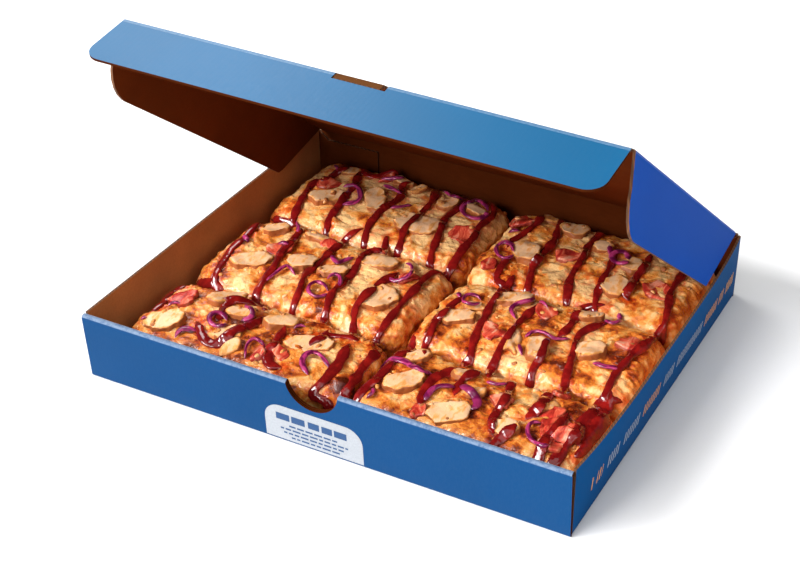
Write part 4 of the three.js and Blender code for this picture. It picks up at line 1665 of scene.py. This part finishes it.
def add_scraps():
    """Meat too small for a node of its own, resting on the slices."""
    surface = FoodSurface()
    for kind, places, slot in (
        ("chicken", SMALL_CHICKEN, "roast_meat"), ("bacon", SMALL_BACON, "cured_meat"),
    ):
        bm = bmesh.new()
        layer = bm.verts.layers.float.new("rim")
        for index, (x, y, length, width, turn) in enumerate(places):
            spot, normal = surface.under(x * MM, y * MM)
            sizes = (length / 2 * MM, width / 2 * MM, SCRAP_THICKNESS)
            matrix = lying(spot + normal * SCRAP_LIFT, normal, math.radians(turn), sizes)
            made = bmesh.ops.create_icosphere(bm, subdivisions=4, radius=1)["verts"]
            for vert in made:
                vert.co = matrix @ Vector([math.copysign(abs(c) ** SCRAP_POWER, c) for c in vert.co])
                offset = vert.co - spot
                vert[layer] = max(0.0, 0.9 - offset.dot(normal) / (3 * MM))
                wobble = noise.noise(vert.co * SCRAP_WAVES + Vector((index, 0, 0)))
                bump = noise.noise(vert.co * SCRAP_LIFT_WAVES) * SCRAP_BUMPS
                vert.co += offset * SCRAP_WOBBLE * wobble + normal * bump
        food_piece(f"scrap_{kind}", bm, f"{kind}_cut", slot)


def add_crumbs():
    """Tiny browned bits of meat that lie all over the slices."""
    surface = FoodSurface()
    generator = random.Random(11)
    bm = bmesh.new()
    layer = bm.verts.layers.float.new("rim")
    for node in SLICES:
        low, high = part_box(node)
        for _ in range(CRUMBS_PER_SLICE):
            x = generator.uniform(low.x + 6 * MM, high.x - 6 * MM)
            y = generator.uniform(low.y + 5 * MM, high.y - 5 * MM)
            spot, normal = surface.under(x, y)
            if spot is None:
                continue
            size = generator.uniform(*CRUMB_SIZES) * MM
            sizes = (size, size * generator.uniform(0.5, 0.9), size * 0.45)
            matrix = lying(spot, normal, generator.uniform(0, math.tau), sizes)
            made = bmesh.ops.create_icosphere(bm, subdivisions=2, radius=1, matrix=matrix)["verts"]
            tone = generator.uniform(0.1, 0.7)
            for vert in made:
                vert[layer] = tone
                vert.co += (vert.co - spot) * CRUMB_WOBBLE * noise.noise(vert.co * CRUMB_WAVES)
    food_piece("roast_crumbs", bm, "chicken_cut", "roast_meat")


def close_bands(bm):
    """Closes the seams of swept bands and turns their faces outward."""
    bmesh.ops.remove_doubles(bm, verts=bm.verts, dist=HAIR)
    bmesh.ops.recalc_face_normals(bm, faces=bm.faces)


def add_onion():
    """Strips and rings of onion, with the skin along their edges."""
    surface = FoodSurface()
    bm = bmesh.new()
    layer = bm.verts.layers.float.new("skin")
    rings = [
        [(u + across * math.cos(t), v + down * math.sin(t)) for t in spread(0.3, math.tau + 0.1, 14)]
        for (u, v), across, down in ONION_RINGS
    ]
    # The corners of a band's section that face sideways, where the skin is.
    skinned = (0, 1, ONION_SIDES - 1, ONION_SIDES)
    for index, line in enumerate(THICK_STRIPS + ONION_STRIPS + rings):
        thick = line in THICK_STRIPS
        width = THICK_WIDTH if thick else ONION_WIDTHS[index % len(ONION_WIDTHS)]
        for route in resting_routes(surface, line, ONION_STEP):
            lifted = []
            for step, (place, normal) in enumerate(route):
                arch = math.sin(math.pi * step / (len(route) - 1)) * ONION_ARCH
                lifted.append((place + UP * (ONION_LIFT + arch), normal))
            made = sweep(bm, lifted, width, ONION_HEIGHT, ONION_SINK, index, ONION_SIDES, ONION_TAPER)
            for order, vert in enumerate(made):
                bare = THICK_FLESH if thick else FLESH
                vert[layer] = SKIN if order % (ONION_SIDES + 1) in skinned else bare
    close_bands(bm)
    food_piece("onion_strips", bm, "onion_red", "roast_meat")


def add_sauce(settings):
    """Trails of sauce, one piece for each slice, run together where they meet."""
    surface = FoodSurface()
    trail_points = []
    for region, trails in SAUCE_TRAILS.items():
        width = settings.sauce_width * SAUCE_SPREAD.get(region, 1.0)
        bm = bmesh.new()
        for index, trail in enumerate(trails):
            routes = resting_routes(surface, trail, SAUCE_STEP)
            for part, route in enumerate(routes):
                if part == 0:
                    route = extended_route(surface, route)
                if part == len(routes) - 1:
                    route = run_down(surface, route)
                sweep(bm, route, width, SAUCE_HEIGHT, SAUCE_SINK, index * 3.1, SAUCE_SIDES, SAUCE_TAPER)
                trail_points += [place for place, _ in route]
        close_bands(bm)
        fine = rounded_lump(f"sauce_{region}", bm, SAUCE_FINENESS)
        food_piece(f"sauce_{region}", fine, "sauce_dark", "roast_meat")
    stain_slices(trail_points)


def stain_slices(points):
    """Notes on the slices how near the sauce is, for the oil round it."""
    tree = KDTree(len(points))
    for index, point in enumerate(points):
        tree.insert(point, index)
    tree.balance()
    for node in SLICES:
        mesh = bpy.data.objects[f"{node}_baked"].data
        values = mesh.attributes["stain"].data
        for vert in mesh.vertices:
            values[vert.index].value = max(0.0, 1 - tree.find(vert.co)[2] / STAIN_REACH)


# ---- the stage --------------------------------------------------------------
def add_sun(name, towards, strength, softness):
    """A far light that comes from the given side."""
    light = bpy.data.lights.new(name, "SUN")
    light.energy = strength
    light.angle = math.radians(softness)
    lamp = bpy.data.objects.new(name, light)
    lamp.rotation_euler = Vector(towards).to_track_quat("Z", "Y").to_euler()
    bpy.context.scene.collection.objects.link(lamp)


def add_sheen(power):
    """A square panel light that gives the food its gloss."""
    light = bpy.data.lights.new("sheen", "AREA")
    light.size = SHEEN_SIZE
    light.energy = power
    lamp = bpy.data.objects.new("sheen", light)
    lamp.location = SHEEN_PLACE
    lamp.rotation_euler = (Vector(SHEEN_PLACE) - Vector(SHEEN_TARGET)).to_track_quat("Z", "Y").to_euler()
    bpy.context.scene.collection.objects.link(lamp)


def add_camera():
    """The camera, with its lens shifted to the picture's crop."""
    camera = bpy.data.cameras.new("camera")
    camera.lens = CAMERA_LENS
    camera.sensor_width = SENSOR
    camera.sensor_fit = "HORIZONTAL"
    camera.shift_x, camera.shift_y = CAMERA_SHIFT
    camera.clip_start = 0.01
    camera.clip_end = 50
    holder = bpy.data.objects.new("camera", camera)
    holder.matrix_world = Matrix.Translation(CAMERA_PLACE) @ camera_rotation().to_4x4()
    bpy.context.scene.collection.objects.link(holder)
    bpy.context.scene.camera = holder


def add_stage(settings):
    """The surround, the floor and the lights."""
    scene = bpy.context.scene
    scene.view_settings.view_transform = "Standard"
    world = bpy.data.worlds.new("surround")
    scene.world = world
    world.use_nodes = True
    background = world.node_tree.nodes["Background"]
    background.inputs["Color"].default_value = (1, 1, 1, 1)
    background.inputs["Strength"].default_value = settings.sky
    recipe = Recipe("pale_floor")
    recipe.finish(Base_Color=recipe.varied(recipe.noise(3, 2), settings.floor, 0.99), Roughness=0.8)
    bm = bmesh.new()
    bmesh.ops.create_grid(bm, x_segments=1, y_segments=1, size=FLOOR_HALF)
    floor = new_piece("floor", bm, ["pale_floor"], None, "printed_card")
    for name, (towards, softness) in SUNS.items():
        add_sun(name, towards, getattr(settings, name), softness)
    add_sheen(settings.sheen)


# ---- operators --------------------------------------------------------------
class PieceOperator:
    bl_options = {"REGISTER", "UNDO"}

    def execute(self, context):
        self.build(context.scene)
        return {"FINISHED"}


class PIZZA_OT_materials(PieceOperator, bpy.types.Operator):
    """Make the finishes of the card and the food"""

    bl_idname = "pizza.materials"
    bl_label = "Finishes"

    def build(self, scene):
        add_materials(scene)


class PIZZA_OT_stage(PieceOperator, bpy.types.Operator):
    """Add the camera, the lights and the floor"""

    bl_idname = "pizza.stage"
    bl_label = "Stage"

    def build(self, scene):
        add_camera()
        add_stage(scene.stage)


class PIZZA_OT_tray(PieceOperator, bpy.types.Operator):
    """Fold the tray of the box"""

    bl_idname = "pizza.tray"
    bl_label = "Tray"

    def build(self, scene):
        base = add_tray_base()
        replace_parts(base, "tray")
        add_tray_front()
        add_tray_side(-1)
        add_tray_side(1)
        add_tray_corner(-1)
        add_tray_corner(1)
        add_tray_rear()


class PIZZA_OT_print(PieceOperator, bpy.types.Operator):
    """Print the plain fields and dashes on the walls"""

    bl_idname = "pizza.print"
    bl_label = "Print"

    def build(self, scene):
        add_label()
        add_wall_dashes()


class PIZZA_OT_lid(PieceOperator, bpy.types.Operator):
    """Fold the lid with its flaps and creases"""

    bl_idname = "pizza.lid"
    bl_label = "Lid"

    def build(self, scene):
        add_spine()
        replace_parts(bpy.data.objects["spine_strip"], "spine")
        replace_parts(add_lid_panel(), "lid_panel")
        add_tongue()
        add_front_crease()
        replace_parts(add_front_flap(), "front_flap")
        add_side_flap(-1)
        add_side_flap(1)


class PIZZA_OT_slices(PieceOperator, bpy.types.Operator):
    """Bake the six slices"""

    bl_idname = "pizza.slices"
    bl_label = "Slices"

    def build(self, scene):
        for node in SLICES:
            add_slice(node, scene.pizza)


class PIZZA_OT_meat(PieceOperator, bpy.types.Operator):
    """Lay the chicken and the bacon on the slices"""

    bl_idname = "pizza.meat"
    bl_label = "Chicken and bacon"

    def build(self, scene):
        add_cuts()
        add_scraps()
        add_crumbs()


class PIZZA_OT_onion(PieceOperator, bpy.types.Operator):
    """Scatter the onion"""

    bl_idname = "pizza.onion"
    bl_label = "Onion"

    def build(self, scene):
        add_onion()


class PIZZA_OT_sauce(PieceOperator, bpy.types.Operator):
    """Trail the sauce over the slices"""

    bl_idname = "pizza.sauce"
    bl_label = "Sauce"

    def build(self, scene):
        add_sauce(scene.toppings)


STEPS = [
    PIZZA_OT_materials, PIZZA_OT_stage, PIZZA_OT_tray, PIZZA_OT_print, PIZZA_OT_lid, PIZZA_OT_slices,
    PIZZA_OT_meat, PIZZA_OT_onion, PIZZA_OT_sauce,
]


class PIZZA_PT_panel(bpy.types.Panel):
    """Lists the steps that build the boxed pizza"""

    bl_idname = "PIZZA_PT_panel"
    bl_label = "Boxed sheet pizza"
    bl_space_type = "VIEW_3D"
    bl_region_type = "UI"
    bl_category = "Pizza"

    def draw(self, context):
        for step in STEPS:
            self.layout.operator(step.bl_idname)


SETTINGS = {
    "card": CardSettings, "pizza": PizzaSettings, "toppings": ToppingSettings, "stage": StageSettings,
}


def register():
    for group in SETTINGS.values():
        bpy.utils.register_class(group)
    for name, group in SETTINGS.items():
        setattr(bpy.types.Scene, name, PointerProperty(type=group))
    for step in STEPS:
        bpy.utils.register_class(step)
    bpy.utils.register_class(PIZZA_PT_panel)


def unregister():
    bpy.utils.unregister_class(PIZZA_PT_panel)
    for step in reversed(STEPS):
        bpy.utils.unregister_class(step)
    for name, group in SETTINGS.items():
        delattr(bpy.types.Scene, name)
        bpy.utils.unregister_class(group)


def main():
    register()
    bpy.ops.pizza.materials()
    bpy.ops.pizza.stage()
    bpy.ops.pizza.tray()
    bpy.ops.pizza.print()
    bpy.ops.pizza.lid()
    bpy.ops.pizza.slices()
    bpy.ops.pizza.meat()
    bpy.ops.pizza.onion()
    bpy.ops.pizza.sauce()


if __name__ == "__main__":
    main()
